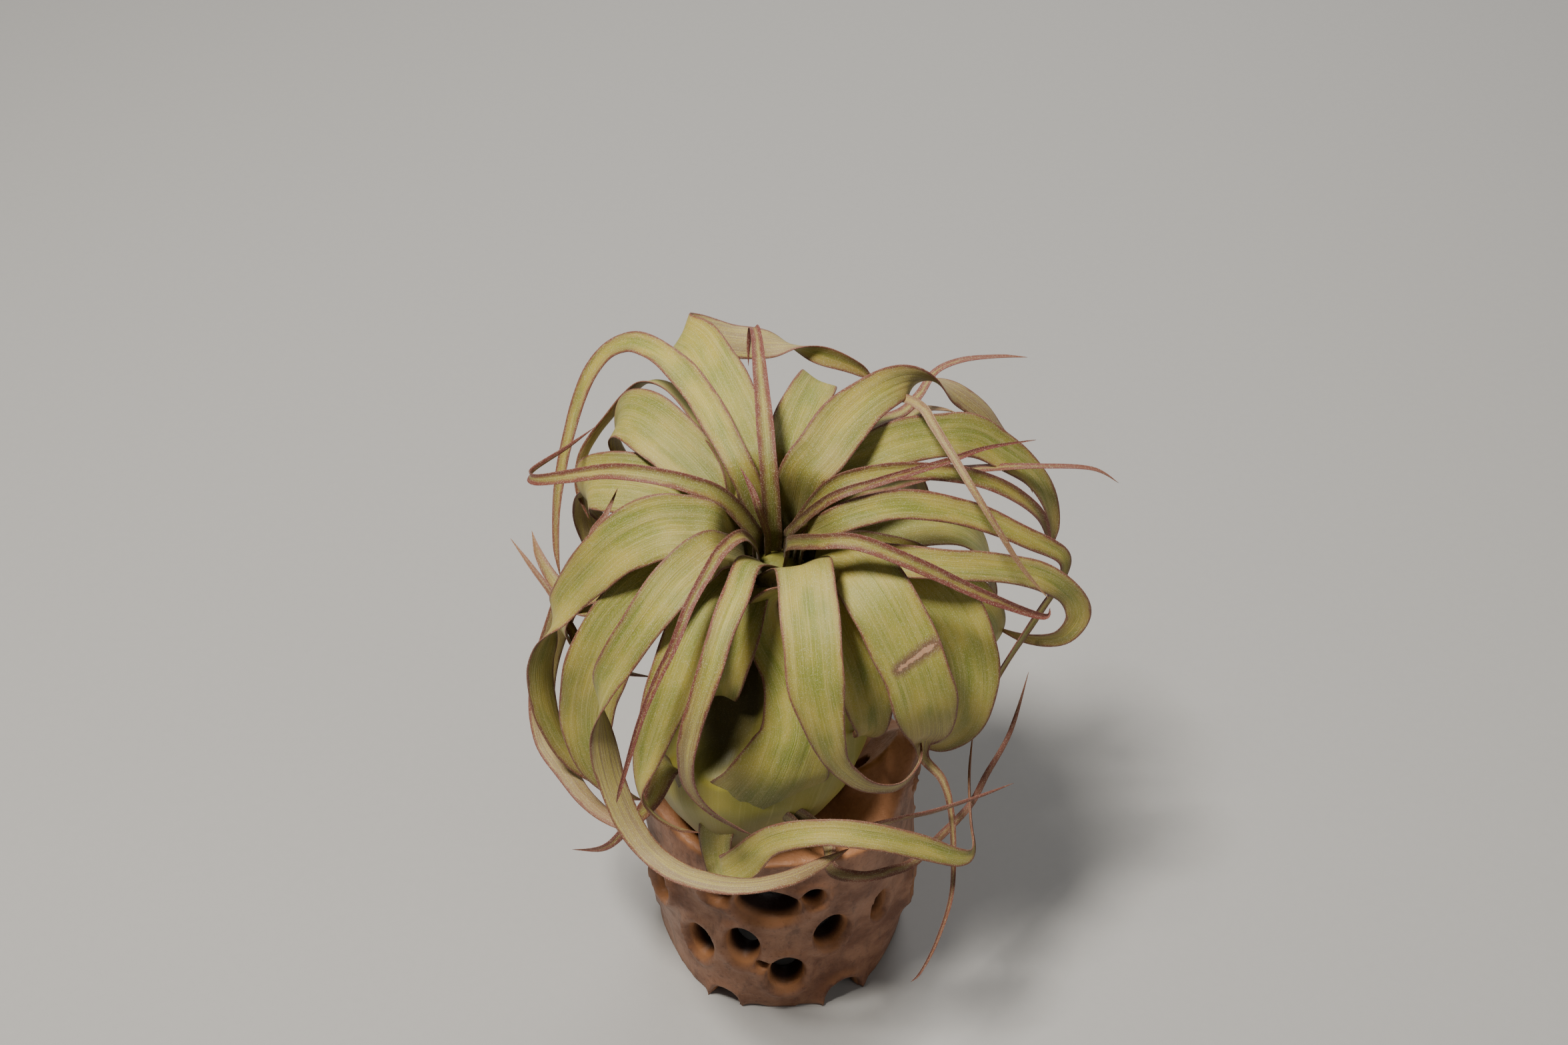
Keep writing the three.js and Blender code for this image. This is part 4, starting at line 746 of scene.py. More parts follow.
def hair_piece(name, leaves, material, sizes):
    """The hairs of a group of leaves: slender three-sided spikes that stand out of both edges."""
    build = Build()
    draw = Random(name)
    spacing = sizes.hair_spacing / MM
    length = sizes.hair_length / MM
    radius = sizes.hair_radius / MM
    for leaf in leaves:
        leaf_draw = Random(leaf["name"])
        strip = Strip(leaf, STRIP_STEPS)
        widths, cups, waves, taper = leaf_rows(leaf, strip, leaf_draw)
        first = strip.along[-1] * strip.neck_share
        places = np.arange(first, strip.along[-1] - spacing, spacing)
        for edge, wave in zip((-1, 1), waves):
            reach = widths / 2
            edges = (
                strip.points + strip.sides * (edge * reach)[:, None]
                + strip.normals * (reach * (cups + wave))[:, None])
            jitter = np.array([draw.uniform(*HAIR_JITTER) for _ in places]) * spacing
            at = places + jitter
            roots = sampled(strip.along, edges, at)
            sides = sampled(strip.along, strip.sides, at) * edge
            normals = sampled(strip.along, strip.normals, at)
            tangents = sampled(strip.along, strip.tangents, at)
            lean = np.array([[draw.uniform(*HAIR_LEAN), draw.uniform(*HAIR_SWEEP)] for _ in at])
            ways = sides + normals * lean[:, :1] + tangents * lean[:, 1:]
            ways /= np.linalg.norm(ways, axis=1)[:, None]
            lengths = np.array([draw.uniform(*HAIR_LENGTH_SPREAD) for _ in at])[:, None] * length
            add_spikes(build, roots - ways * HAIR_SINK, ways, normals, lengths, radius)
    piece = build.to_object(name, material)
    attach(piece, "root")
    return piece


def sampled(along, rows, places):
    return np.stack([np.interp(places, along, rows[:, axis]) for axis in range(3)], axis=1)


def add_spikes(build, roots, ways, normals, lengths, radius):
    first = np.cross(ways, normals)
    first /= np.linalg.norm(first, axis=1)[:, None]
    second = np.cross(ways, first)
    corners = []
    for side in range(HAIR_SIDES):
        turn = math.tau * side / HAIR_SIDES
        corners.append(roots + radius * (first * math.cos(turn) + second * math.sin(turn)))
    corners.append(roots + ways * lengths)
    points = np.stack(corners, axis=1).reshape(-1, 3)
    faces = []
    for start in range(0, len(points), HAIR_SIDES + 1):
        tip = start + HAIR_SIDES
        faces.append([start + 2, start + 1, start])
        for side in range(HAIR_SIDES):
            faces.append([start + side, start + (side + 1) % HAIR_SIDES, tip])
    build.add(points, faces)


# The bulb

BULB_ROWS = 150
BULB_TURNS = 216
# The overlapping leaf bases: how many, the turn from one to the next, how thick they are, and how
# far below the mouth the first and the last of them begin
SHEATH_COUNT = 13
SHEATH_STEP_TURN = math.radians(137.5)
SHEATH_THICKNESS = 0.4
SHEATH_FIRST_TOP = 26
SHEATH_LAST_TOP = 92
# A leaf base is narrow at its top and widens downward to its lowest half turn; then how steep its
# edge is, and how far from the edge it shows, in mm
SHEATH_LOWEST_HALF_TURN = math.radians(96)
SHEATH_TOP_HALF_TURN = math.radians(24)
SHEATH_WIDENING_DEPTH = 58
SHEATH_EDGE_SLOPE = 0.7
SHEATH_EDGE_WIDTH = 2.2
# The limit of a smooth step's exponent, and how much cover makes a sheath the one that shows
STEEPEST = 40
SHOWING_COVER = 0.5
SHADE_STEP = 0.618
BULB_INSET = 0.15
# A fold or gap goes no deeper than this share of the bulb's radius
LEAST_RADIUS_SHARE = 0.5
PROFILE_ROUNDING_ROWS = 3
# The gap between two sheaths at the front, as seen from the viewpoint: its middle, its half width
# and half height, its lean, how far out its floor begins to rise, and its depth
RECESS_PLACE = (-14.5, -51.0)
RECESS_HALF_SIZES = (14.0, 25.0)
RECESS_LEAN = math.radians(-6)
RECESS_FLOOR_SHARE = 0.6
RECESS_DEPTH = 8.0
RECESS_NEAREST = -45


def bulb_relief(depths, turns, radii):
    """How far below the bulb's widest outline its skin lies, and which sheath shows, over a grid."""
    total = np.zeros((len(depths), len(turns)))
    expected = np.zeros(len(depths))
    shade = np.zeros_like(total)
    edge = np.ones_like(total)
    for number in range(SHEATH_COUNT):
        centre = number * SHEATH_STEP_TURN
        top = SHEATH_FIRST_TOP + (SHEATH_LAST_TOP - SHEATH_FIRST_TOP) * number / (SHEATH_COUNT - 1)
        below = np.clip((depths - top) / SHEATH_WIDENING_DEPTH, 0, 1)
        half = np.where(
            depths > top,
            SHEATH_TOP_HALF_TURN + (SHEATH_LOWEST_HALF_TURN - SHEATH_TOP_HALF_TURN) * np.sqrt(below),
            0)
        away = np.abs((turns - centre + math.pi) % math.tau - math.pi)
        inside = (half[:, None] - away[None, :]) * radii[:, None]
        steps = np.clip(inside / SHEATH_EDGE_SLOPE, -STEEPEST, STEEPEST)
        cover = 1 / (1 + np.exp(-steps))
        cover *= (depths > top)[:, None]
        total += cover * SHEATH_THICKNESS
        expected += SHEATH_THICKNESS * half / math.pi
        shown = cover > SHOWING_COVER
        shade[shown] = (number * SHADE_STEP) % 1
        edge[shown] = 1
        near_edge = np.abs(inside) < SHEATH_EDGE_WIDTH
        edge = np.where(near_edge & shown, np.abs(inside) / SHEATH_EDGE_WIDTH, edge)
    depth_below = np.clip(expected[:, None] + 2 * SHEATH_THICKNESS - total, 0, None)
    return depth_below, shade, edge


def recess_share(point):
    """How far a place on the bulb's skin lies inside the gap at the front, from 0 to 1."""
    gap = point - MOUTH
    near = np.dot(gap, NEAR)
    scale = 1 - near / VIEW_DISTANCE
    aside = np.dot(gap, RIGHT) / scale - RECESS_PLACE[0]
    above = np.dot(gap, UP) / scale - RECESS_PLACE[1]
    cos, sin = math.cos(RECESS_LEAN), math.sin(RECESS_LEAN)
    out = math.hypot(
        (aside * cos + above * sin) / RECESS_HALF_SIZES[0],
        (above * cos - aside * sin) / RECESS_HALF_SIZES[1])
    share = np.clip((1 - out) / (1 - RECESS_FLOOR_SHARE), 0, 1)
    faces_viewer = near > RECESS_NEAREST
    return share * share * (3 - 2 * share) * faces_viewer


def bulb_piece(material):
    depths = np.linspace(BULB_PROFILE[0][0], BULB_LENGTH, BULB_ROWS)
    turns = np.linspace(0, math.tau, BULB_TURNS, endpoint=False)
    radii = smooth_profile(BULB_PROFILE, depths)
    below, shade, edge = bulb_relief(depths, turns, radii)
    points = []
    recesses = []
    for row, depth in enumerate(depths):
        for column, turn in enumerate(turns):
            recess = recess_share(bulb_point(depth, radii[row], -turn))
            radius = radii[row] - BULB_INSET - below[row, column] - RECESS_DEPTH * recess
            points.append(bulb_point(depth, max(radius, radii[row] * LEAST_RADIUS_SHARE), -turn))
            recesses.append(recess)
    build = Build()
    build.add(
        np.array(points), tube_faces(BULB_ROWS, BULB_TURNS),
        shade=shade.ravel(), edge=edge.ravel(), recess=recesses,
        foot=np.repeat(depths / BULB_LENGTH, BULB_TURNS),
        round=np.tile(np.cos(turns), BULB_ROWS), turn=np.tile(np.sin(turns), BULB_ROWS))
    piece = build.to_object("bulb_sheaths", material)
    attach(piece, "root")
    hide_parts("bulb_of_leaf_bases")
    return piece


def smooth_profile(table, values):
    """The table's value at each place, with its corners rounded but never above its straight lines."""
    straight = np.interp(values, [row[0] for row in table], [row[1] for row in table])
    padded = np.pad(straight, PROFILE_ROUNDING_ROWS, mode="edge")
    window_rows = 2 * PROFILE_ROUNDING_ROWS + 1
    window = np.ones(window_rows) / window_rows
    return np.minimum(np.convolve(padded, window, mode="valid"), straight)


# The wood

WOOD_FINE_SIDES = 150
WOOD_FINE_RINGS = 46
HOLE_FINE_SIDES = 20
# How much wider than its plain drum a worn hole is
HOLE_WEAR = 1.14
WOOD_SMOOTH_ROUNDS = 9
WOOD_SMOOTH_SHARE = 0.5
# The swollen lip round a hole: its height, the wood's radius there, and its place and spread as
# shares of the hole's half size
LIP_HEIGHT = 3.2
LIP_RADIUS = 44
LIP_PLACE = 1.45
LIP_SPREAD = 0.42
# Painted shade: a wall is painted as dark as the hollow this far in from the skin, and only below the
# open, lit top
HOLLOW_FULL_DEPTH = 9
HOLLOW_LIT_HEIGHT = 88
HOLLOW_DARK_HEIGHT = 72
# What lies this little above the lowest point belongs to the flat foot
FLAT_FOOT = 0.35
# The bulb that the wood gives way to: its rows and sides, and how far it stands off the wood
BULB_CUT_ROWS = 24
BULB_CUT_SIDES = 60
BULB_CUT_GAP = 0.3


def wood_radius(height, turn):
    radius = table_value(WOOD_PROFILE, height)
    for lump, count, climb in WOOD_LUMPS:
        radius += lump * math.sin(count * turn + height / climb)
    return radius


def near_turn(turn, middle, spread):
    """1 at a turn round the wood, falling off smoothly on both sides of it."""
    away = math.atan2(math.sin(turn - middle), math.cos(turn - middle))
    return math.exp(-((away / spread) ** 2))


def wood_wall(height, turn):
    shoulder = near_turn(turn, WOOD_SHOULDER_TURN, WOOD_SHOULDER_SPREAD)
    wall = table_value(WOOD_WALL_PROFILE, height)
    return wall + table_value(WOOD_SHOULDER_PROFILE, height) * shoulder


def hole_lip(height, turn):
    """How far the wood swells round its holes: each one has grown a raised, rounded lip."""
    lip = 0
    for turn_degrees, hole_height, half_width, half_height in WOOD_HOLES:
        middle = math.radians(turn_degrees)
        away = math.atan2(math.sin(turn - middle), math.cos(turn - middle))
        aside = away * LIP_RADIUS / half_width
        out = math.hypot(aside, (height - hole_height) / half_height)
        lip = max(lip, math.exp(-(((out - LIP_PLACE) / LIP_SPREAD) ** 2)))
    return LIP_HEIGHT * lip


def wood_top(turn):
    spur = near_turn(turn, WOOD_SPUR_TURN, WOOD_SPUR_SPREAD)
    wave_height, wave_count, wave_phase = WOOD_RIM_WAVE
    wave = wave_height * math.sin(wave_count * turn + wave_phase)
    return WOOD_HEIGHT + WOOD_SPUR_HEIGHT * spur + wave


def wood_tube():
    """The wood without its holes, as a closed ring of outer and inner walls."""
    points = []
    shares = [(row / WOOD_FINE_RINGS, False) for row in range(WOOD_FINE_RINGS + 1)]
    shares += [(share, True) for share, _ in reversed(shares)]
    for share, inside in shares:
        for side in range(WOOD_FINE_SIDES):
            turn = math.tau * side / WOOD_FINE_SIDES
            height = wood_top(turn) * share
            change = -wood_wall(height, turn) if inside else hole_lip(height, turn)
            radius = wood_radius(height, turn) + change
            points.append((
                radius * math.cos(turn), radius * math.sin(turn) * WOOD_DEPTH_SHARE, height))
    return points, ring_faces(len(shares), WOOD_FINE_SIDES, closed=True)


def hole_drum(turn_degrees, height, half_width, half_height):
    """An oval drum through the wall, wider at the outside where the wood is worn round."""
    turn = math.radians(turn_degrees)
    half_width, half_height = HOLE_WEAR * half_width, HOLE_WEAR * half_height
    radius = wood_radius(height, turn)
    inner, outer = WOOD_HOLE_PROFILE[0][1], WOOD_HOLE_PROFILE[-1][1]
    rings = [row for row in WOOD_HOLE_PROFILE if row[0] > 0]
    points = []
    for share, out in rings:
        for side in range(HOLE_FINE_SIDES):
            around = math.tau * side / HOLE_FINE_SIDES
            points.append((radius + out, half_width * share * math.cos(around),
                           half_height * share * math.sin(around)))
    points += [(radius + inner, 0, 0), (radius + outer, 0, 0)]
    faces = ring_faces(len(rings), HOLE_FINE_SIDES)
    last = (len(rings) - 1) * HOLE_FINE_SIDES
    start_point = len(rings) * HOLE_FINE_SIDES
    for side in range(HOLE_FINE_SIDES):
        after = (side + 1) % HOLE_FINE_SIDES
        faces.append([after, side, start_point])
        faces.append([last + side, last + after, start_point + 1])
    cos, sin = math.cos(turn), math.sin(turn)
    placed = [
        (x * cos - y * sin, (x * sin + y * cos) * WOOD_DEPTH_SHARE, z + height)
        for x, y, z in points]
    return placed, faces


def bulb_cutter():
    points = []
    for depth in np.linspace(BULB_PROFILE[0][0], BULB_LENGTH, BULB_CUT_ROWS):
        radius = table_value(BULB_PROFILE, depth) + BULB_CUT_GAP
        for side in range(BULB_CUT_SIDES):
            points.append(bulb_point(depth, radius, -math.tau * side / BULB_CUT_SIDES))
    return points, tube_faces(BULB_CUT_ROWS, BULB_CUT_SIDES)


def raw_object(name, points, faces):
    mesh = bpy.data.meshes.new(name)
    placed = (np.array(points) + CENTRING) * MM
    mesh.from_pydata(placed.tolist(), [], faces)
    work = bmesh.new()
    work.from_mesh(mesh)
    bmesh.ops.recalc_face_normals(work, faces=work.faces)
    work.to_mesh(mesh)
    work.free()
    piece = bpy.data.objects.new(name, mesh)
    bpy.context.scene.collection.objects.link(piece)
    return piece


def wood_piece(material, sizes):
    """The wood: its tube less its holes, worn smooth by a remesh and a few rounds of smoothing."""
    tube = raw_object("wood_tube", *wood_tube())
    cutters = []
    for shape in [bulb_cutter()] + [hole_drum(*hole) for hole in WOOD_HOLES]:
        drum = raw_object("wood_hole", *shape)
        cut = tube.modifiers.new("hole", "BOOLEAN")
        cut.operation = "DIFFERENCE"
        cut.solver = "EXACT"
        cut.object = drum
        cutters.append(drum)
    remesh = tube.modifiers.new("even_faces", "REMESH")
    remesh.mode = "VOXEL"
    remesh.voxel_size = sizes.wood_grid
    smooth = tube.modifiers.new("worn", "SMOOTH")
    smooth.factor = WOOD_SMOOTH_SHARE
    smooth.iterations = WOOD_SMOOTH_ROUNDS
    bpy.context.view_layer.update()
    shaped = tube.evaluated_get(bpy.context.evaluated_depsgraph_get())
    mesh = bpy.data.meshes.new_from_object(shaped)
    for spent in [tube] + cutters:
        bpy.data.objects.remove(spent)
    places = np.zeros(len(mesh.vertices) * 3)
    mesh.vertices.foreach_get("co", places)
    places = places.reshape(-1, 3)
    floor_gap = places[:, 2].min()
    places[:, 2] = np.where(places[:, 2] < FLAT_FOOT * MM + floor_gap, 0, places[:, 2])
    mesh.vertices.foreach_set("co", places.ravel())
    local = places / MM - CENTRING
    turns = np.arctan2(local[:, 1] / WOOD_DEPTH_SHARE, local[:, 0])
    outward = np.hypot(local[:, 0], local[:, 1] / WOOD_DEPTH_SHARE)
    skin = np.array([wood_radius(height, turn) for height, turn in zip(local[:, 2], turns)])
    # Painted shade: how far in from the skin a vertex lies, below the lit top, which the finish paints
    # dark
    below_top = (HOLLOW_LIT_HEIGHT - local[:, 2]) / (HOLLOW_LIT_HEIGHT - HOLLOW_DARK_HEIGHT)
    inside = np.clip((skin - outward) / HOLLOW_FULL_DEPTH, 0, 1)
    set_values(mesh, "hollow", inside * np.clip(below_top, 0, 1))
    mesh.materials.clear()
    piece = place_mesh("wood_stand", mesh, material)
    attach(piece, "root")
    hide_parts("holed_wood_stand")
    return piece


# Finishes

# How deep light glows into the skin, in metres
GLOW_SCALE = 0.0008
# How often a pattern changes: per mm along a leaf, and per mm or half width across it
STRIPE_ALONG = 0.03
STRIPE_ACROSS = 2.8
VEIN_ALONG = 0.012
VEIN_ACROSS = 0.5
BLOTCH_ALONG = 0.055
BLOTCH_ACROSS = 1.1
MARGIN_ALONG = 0.22
# Heights in metres: of a leaf's fine lines, of its veins and of its scales
STRIPE_RELIEF = 0.00018
VEIN_RELIEF = 0.0003
SCURF_RELIEF = 0.00007
# Grains per metre of the fine silvery scales
SCURF_SCALE = 3000.0
# Width in mm of the red line along a leaf's edges: on a green leaf, and on the reddest one
MARGIN_WIDTH = 0.85
RED_MARGIN_WIDTH = 1.7
MARGIN_STRENGTH = 0.9
# The red also spreads faintly inward from the edges, over this many mm
MARGIN_GLOW_WIDTH = 2.6
MARGIN_GLOW = 0.35
# The scar: its half width and that of its halo in mm, and how ragged it is
SCAR_NOISE_SCALE = 900.0
SCAR_RAGGED = 2.2
SCAR_HALF_WIDTH = 0.85
SCAR_HALO = 3.8
SCAR_RIM_STRENGTH = 0.8
LEAF_FINISH = "living_leaf"
SCARRED_FINISH = "scarred_leaf"
HAIR_FINISH = "leaf_edge_hair"
HAIR_TONE_SCALE = 400.0
BULB_STRIPES = 24.0
BULB_BLOTCH_SCALE = 55.0
# Patterns per metre in the wood, how far its grain is stretched, and how far they stand out
WOOD_STREAK_SCALE = 210.0
WOOD_STREAK_STRETCH = 0.35
WOOD_STREAK_RELIEF = 0.0005
WOOD_CLOUD_SCALE = 60.0
WOOD_PIT_SCALE = 620.0
WOOD_PIT_RELIEF = 0.00035
PAPER_GRAIN_SCALE = 300.0
PAPER_RELIEF = 0.0001
PAPER_BUMP = 0.3

# Ramps over a pattern or a measure: its low and high marks, and the result below the one and above
# the other, which is 0 and 1 where it isn't given. A result is the share of a colour in the mix,
# except where the name says width or roughness.
LEAF_BLOTCHES = (0.32, 0.68)
LEAF_VEINS = (0.42, 0.7, 0.0, 0.35)
LEAF_STRIPES = (0.42, 0.72, 0.0, 0.4)
LEAF_BACK_STRIPES = (0.4, 0.64)
LEAF_SCURF = (0.52, 0.66, 0.0, 0.3)
LEAF_ROUGHNESS = (0.3, 0.7, 0.48, 0.7)
# A red leaf is reddest towards its tip, away from its middle line and between its pale stripes
RED_ALONG = (0.1, 0.85, 0.35, 1.0)
RED_ACROSS = (0.05, 0.5, 0.4, 1.0)
RED_STRIPES = (0.4, 0.66, 1.0, 0.7)
RED_BACK_SHARE = 0.75
TIP_ALONG = (0.74, 1.0)
TIP_BY_REDNESS = (0.0, 1.0, 0.35, 1.0)
# The width of the red line is this times a noise that is a half on average
MARGIN_WIDTHS = (0.0, 1.0, 2 * MARGIN_WIDTH, 2 * RED_MARGIN_WIDTH)
ON_MARGIN = (0.35, 1.0, MARGIN_STRENGTH, 0.0)
BESIDE_MARGIN = (0.0, MARGIN_GLOW_WIDTH, MARGIN_GLOW, 0.0)
# Where a dry end begins, and how far blotches carry it up the leaf
DRY_ALONG = (0.9, 1.06)
DRY_RAGGED = 0.16
AGED_STRIPES = (0.35, 0.65, 0.3, 1.0)
FUNNEL_SHADE = 0.8
SCAR_RIM_REACH = (SCAR_HALF_WIDTH, SCAR_HALO, SCAR_RIM_STRENGTH, 0.0)
SCAR_CORE_REACH = (SCAR_HALF_WIDTH / 2, SCAR_HALF_WIDTH, 0.85, 0.0)
BULB_BLOTCHES = (0.3, 0.7)
BULB_SHEATH_SHADE = 0.5
BULB_STRIPE_SHARE = (0.5, 0.72, 0.0, 0.3)
BULB_DRY_FOOT = (0.82, 0.98, 0.0, 0.8)
BULB_EDGES = (0.0, 0.5, 0.2, 0.0)
# Painted shade in the gap at the bulb's front
BULB_RECESS_SHADE = 0.85
BULB_SCURF = (0.54, 0.74, 0.0, 0.15)
HAIR_TONES = (0.35, 0.65)
WOOD_CLOUDS = (0.3, 0.72)
WOOD_STREAKS = (0.5, 0.74, 0.0, 0.6)
WOOD_PITS = (0.54, 0.7, 0.0, 0.4)
WOOD_UPWARD_PAINTED_HIGHLIGHT = (0.15, 0.75, 0.0, 0.55)
WOOD_LIP_PAINTED_HIGHLIGHT = (0.02, 0.12, 0.0, 0.6)
WOOD_HOLE_PAINTED_SHADE = (0.1, 0.6)
WOOD_ROUGHNESS = (0.3, 0.7, 0.4, 0.62)
# How strongly each relief shows
LEAF_GRAIN_BUMP = 0.7
BULB_RIB_BUMP = 0.8
BULB_GRAIN_BUMP = 0.6
HAIR_BUMP = 0.2
WOOD_GRAIN_BUMP = 0.9
WOOD_PIT_BUMP = 0.6

# The skin of leaves and leaf bases
SKIN = dict(roughness=0.5, sheen=0.04, shine=0.4, glow_depth=0.08)
# A Mix node's sockets for two colours, and its socket for the mixed one
FIRST_COLOUR = 6
SECOND_COLOUR = 7
MIXED_COLOUR = 2
NOISE_MIDDLE = 0.5


class Finish:
    """A material under construction: a Principled surface and the nodes that pattern it."""

    def __init__(self, name, roughness, sheen=0.0, shine=0.5, glow_depth=0.0):
        self.material = bpy.data.materials.new(name)
        self.material.use_nodes = True
        self.tree = self.material.node_tree
        self.tree.nodes.clear()
        output = self.tree.nodes.new("ShaderNodeOutputMaterial")
        self.surface = self.tree.nodes.new("ShaderNodeBsdfPrincipled")
        self.tree.links.new(self.surface.outputs["BSDF"], output.inputs["Surface"])
        self.surface.inputs["Roughness"].default_value = roughness
        self.surface.inputs["Sheen Weight"].default_value = sheen
        self.surface.inputs["Specular IOR Level"].default_value = shine
        self.surface.inputs["Subsurface Weight"].default_value = glow_depth
        self.surface.inputs["Subsurface Scale"].default_value = GLOW_SCALE

    def node(self, kind, inputs, **settings):
        made = self.tree.nodes.new(kind)
        for key, value in settings.items():
            setattr(made, key, value)
        for key, value in inputs.items():
            self.feed(made.inputs[key], value)
        return made

    def feed(self, socket, value):
        if isinstance(value, bpy.types.NodeSocket):
            self.tree.links.new(value, socket)
        elif socket.type == "RGBA":
            socket.default_value = (*value, 1)
        else:
            socket.default_value = value

    def value_of(self, name):
        return self.node("ShaderNodeAttribute", {}, attribute_name=name).outputs["Fac"]

    def point(self, x, y, z):
        return self.node("ShaderNodeCombineXYZ", {0: x, 1: y, 2: z}).outputs[0]

    def place(self):
        return self.node("ShaderNodeTexCoord", {}).outputs["Object"]

    def calc(self, operation, *values):
        return self.node("ShaderNodeMath", dict(enumerate(values)), operation=operation).outputs[0]

    def times(self, *values):
        product = values[0]
        for value in values[1:]:
            product = self.calc("MULTIPLY", product, value)
        return product

    def noise(self, place, scale=1.0, detail=2.0, roughness=0.5):
        return self.node("ShaderNodeTexNoise", {
            "Vector": place, "Scale": scale, "Detail": detail, "Roughness": roughness}).outputs[0]

    def ramp(self, value, low, high, start=0.0, end=1.0):
        """The start value below the low mark, the end value above the high one, smooth between."""
        return self.node("ShaderNodeMapRange", {
            "Value": value, "From Min": low, "From Max": high, "To Min": start, "To Max": end,
        }, interpolation_type="SMOOTHSTEP").outputs[0]

    def mix(self, share, first, second):
        mixed = self.node("ShaderNodeMix", {
            0: share, FIRST_COLOUR: first, SECOND_COLOUR: second}, data_type="RGBA")
        return mixed.outputs[MIXED_COLOUR]

    def bump(self, height, distance, strength=1.0, under=None):
        inputs = {"Height": height, "Distance": distance, "Strength": strength}
        if under is not None:
            inputs["Normal"] = under
        return self.node("ShaderNodeBump", inputs).outputs[0]

    def finished(self, colour, normal, roughness=None):
        self.feed(self.surface.inputs["Base Color"], colour)
        self.feed(self.surface.inputs["Normal"], normal)
        if roughness is not None:
            self.feed(self.surface.inputs["Roughness"], roughness)
        return self.material


def leaf_finish(name, colours):
    """Striped living leaf: red edges, redder tips, grey fuzzy back, dry ends, one scar, and painted
    shade deep in the funnel.
    """
    skin = Finish(name, **SKIN)
    along = skin.value_of("along")
    offset = skin.value_of("offset")
    across_leaf = skin.value_of("across")
    share = skin.value_of("share")
    variety = skin.value_of("variety")
    redness = skin.value_of("redness")
    stripes = skin.noise(skin.point(
        skin.times(along, STRIPE_ALONG), skin.times(offset, STRIPE_ACROSS), variety),
        detail=3.0, roughness=0.7)
    veins = skin.noise(skin.point(
        skin.times(along, VEIN_ALONG), skin.times(offset, VEIN_ACROSS), variety), detail=1.0)
    blotches = skin.noise(skin.point(
        skin.times(along, BLOTCH_ALONG), skin.times(across_leaf, BLOTCH_ACROSS), variety))
    scurf = skin.noise(skin.place(), SCURF_SCALE, detail=2.0, roughness=0.7)

    face = skin.mix(skin.ramp(blotches, *LEAF_BLOTCHES), colours.leaf_face, colours.leaf_green)
    face = skin.mix(skin.ramp(veins, *LEAF_VEINS), face, colours.leaf_vein)
    face = skin.mix(skin.ramp(stripes, *LEAF_STRIPES), face, colours.leaf_stripe)
    from_middle = skin.calc("ABSOLUTE", across_leaf)
    red_reach = skin.times(redness, skin.ramp(share, *RED_ALONG))
    red_sides = skin.times(red_reach, skin.ramp(from_middle, *RED_ACROSS))
    red_share = skin.times(red_sides, skin.ramp(stripes, *RED_STRIPES))
    face = skin.mix(red_share, face, colours.leaf_blush)
    back = skin.mix(skin.ramp(stripes, *LEAF_BACK_STRIPES), colours.leaf_back, colours.leaf_vein)
    back = skin.mix(skin.times(red_reach, RED_BACK_SHARE), back, colours.leaf_blush)
    showing_face = skin.times(
        skin.value_of("upper"), skin.calc("SUBTRACT", 1.0, skin.value_of("turned")))
    colour = skin.mix(showing_face, back, face)
    on_tip = skin.times(skin.ramp(share, *TIP_ALONG), skin.ramp(redness, *TIP_BY_REDNESS))
    colour = skin.mix(on_tip, colour, colours.leaf_tip)

    margin_noise = skin.noise(skin.point(
        skin.times(along, MARGIN_ALONG), variety, skin.calc("SIGN", across_leaf)))
    margin_width = skin.times(margin_noise, skin.ramp(redness, *MARGIN_WIDTHS))
    margin_share = skin.calc("DIVIDE", skin.value_of("margin"), margin_width)
    on_margin = skin.ramp(margin_share, *ON_MARGIN)
    near_margin = skin.ramp(skin.value_of("margin"), *BESIDE_MARGIN)
    colour = skin.mix(skin.times(near_margin, skin.value_of("upper")), colour, colours.leaf_margin)
    colour = skin.mix(on_margin, colour, colours.leaf_margin)
    dry_place = skin.calc("ADD", share, skin.times(blotches, DRY_RAGGED))
    dry = skin.times(skin.value_of("dryness"), skin.ramp(dry_place, *DRY_ALONG))
    colour = skin.mix(dry, colour, colours.leaf_dry)
    aged = skin.times(skin.value_of("age"), skin.ramp(stripes, *AGED_STRIPES))
    colour = skin.mix(aged, colour, colours.leaf_aged)
    # Painted shade deep in the funnel, where the leaves shade each other
    funnel_painted_shade = skin.times(skin.value_of("funnel"), FUNNEL_SHADE)
    colour = skin.mix(funnel_painted_shade, colour, colours.painted_deep_shade)
    if name == SCARRED_FINISH:
        colour = scarred(skin, colour, colours)
    colour = skin.mix(skin.ramp(scurf, *LEAF_SCURF), colour, colours.scurf)

    ribs = skin.bump(stripes, STRIPE_RELIEF, under=skin.bump(veins, VEIN_RELIEF))
    grain = skin.bump(scurf, SCURF_RELIEF, LEAF_GRAIN_BUMP, under=ribs)
    return skin.finished(colour, grain, skin.ramp(scurf, *LEAF_ROUGHNESS))


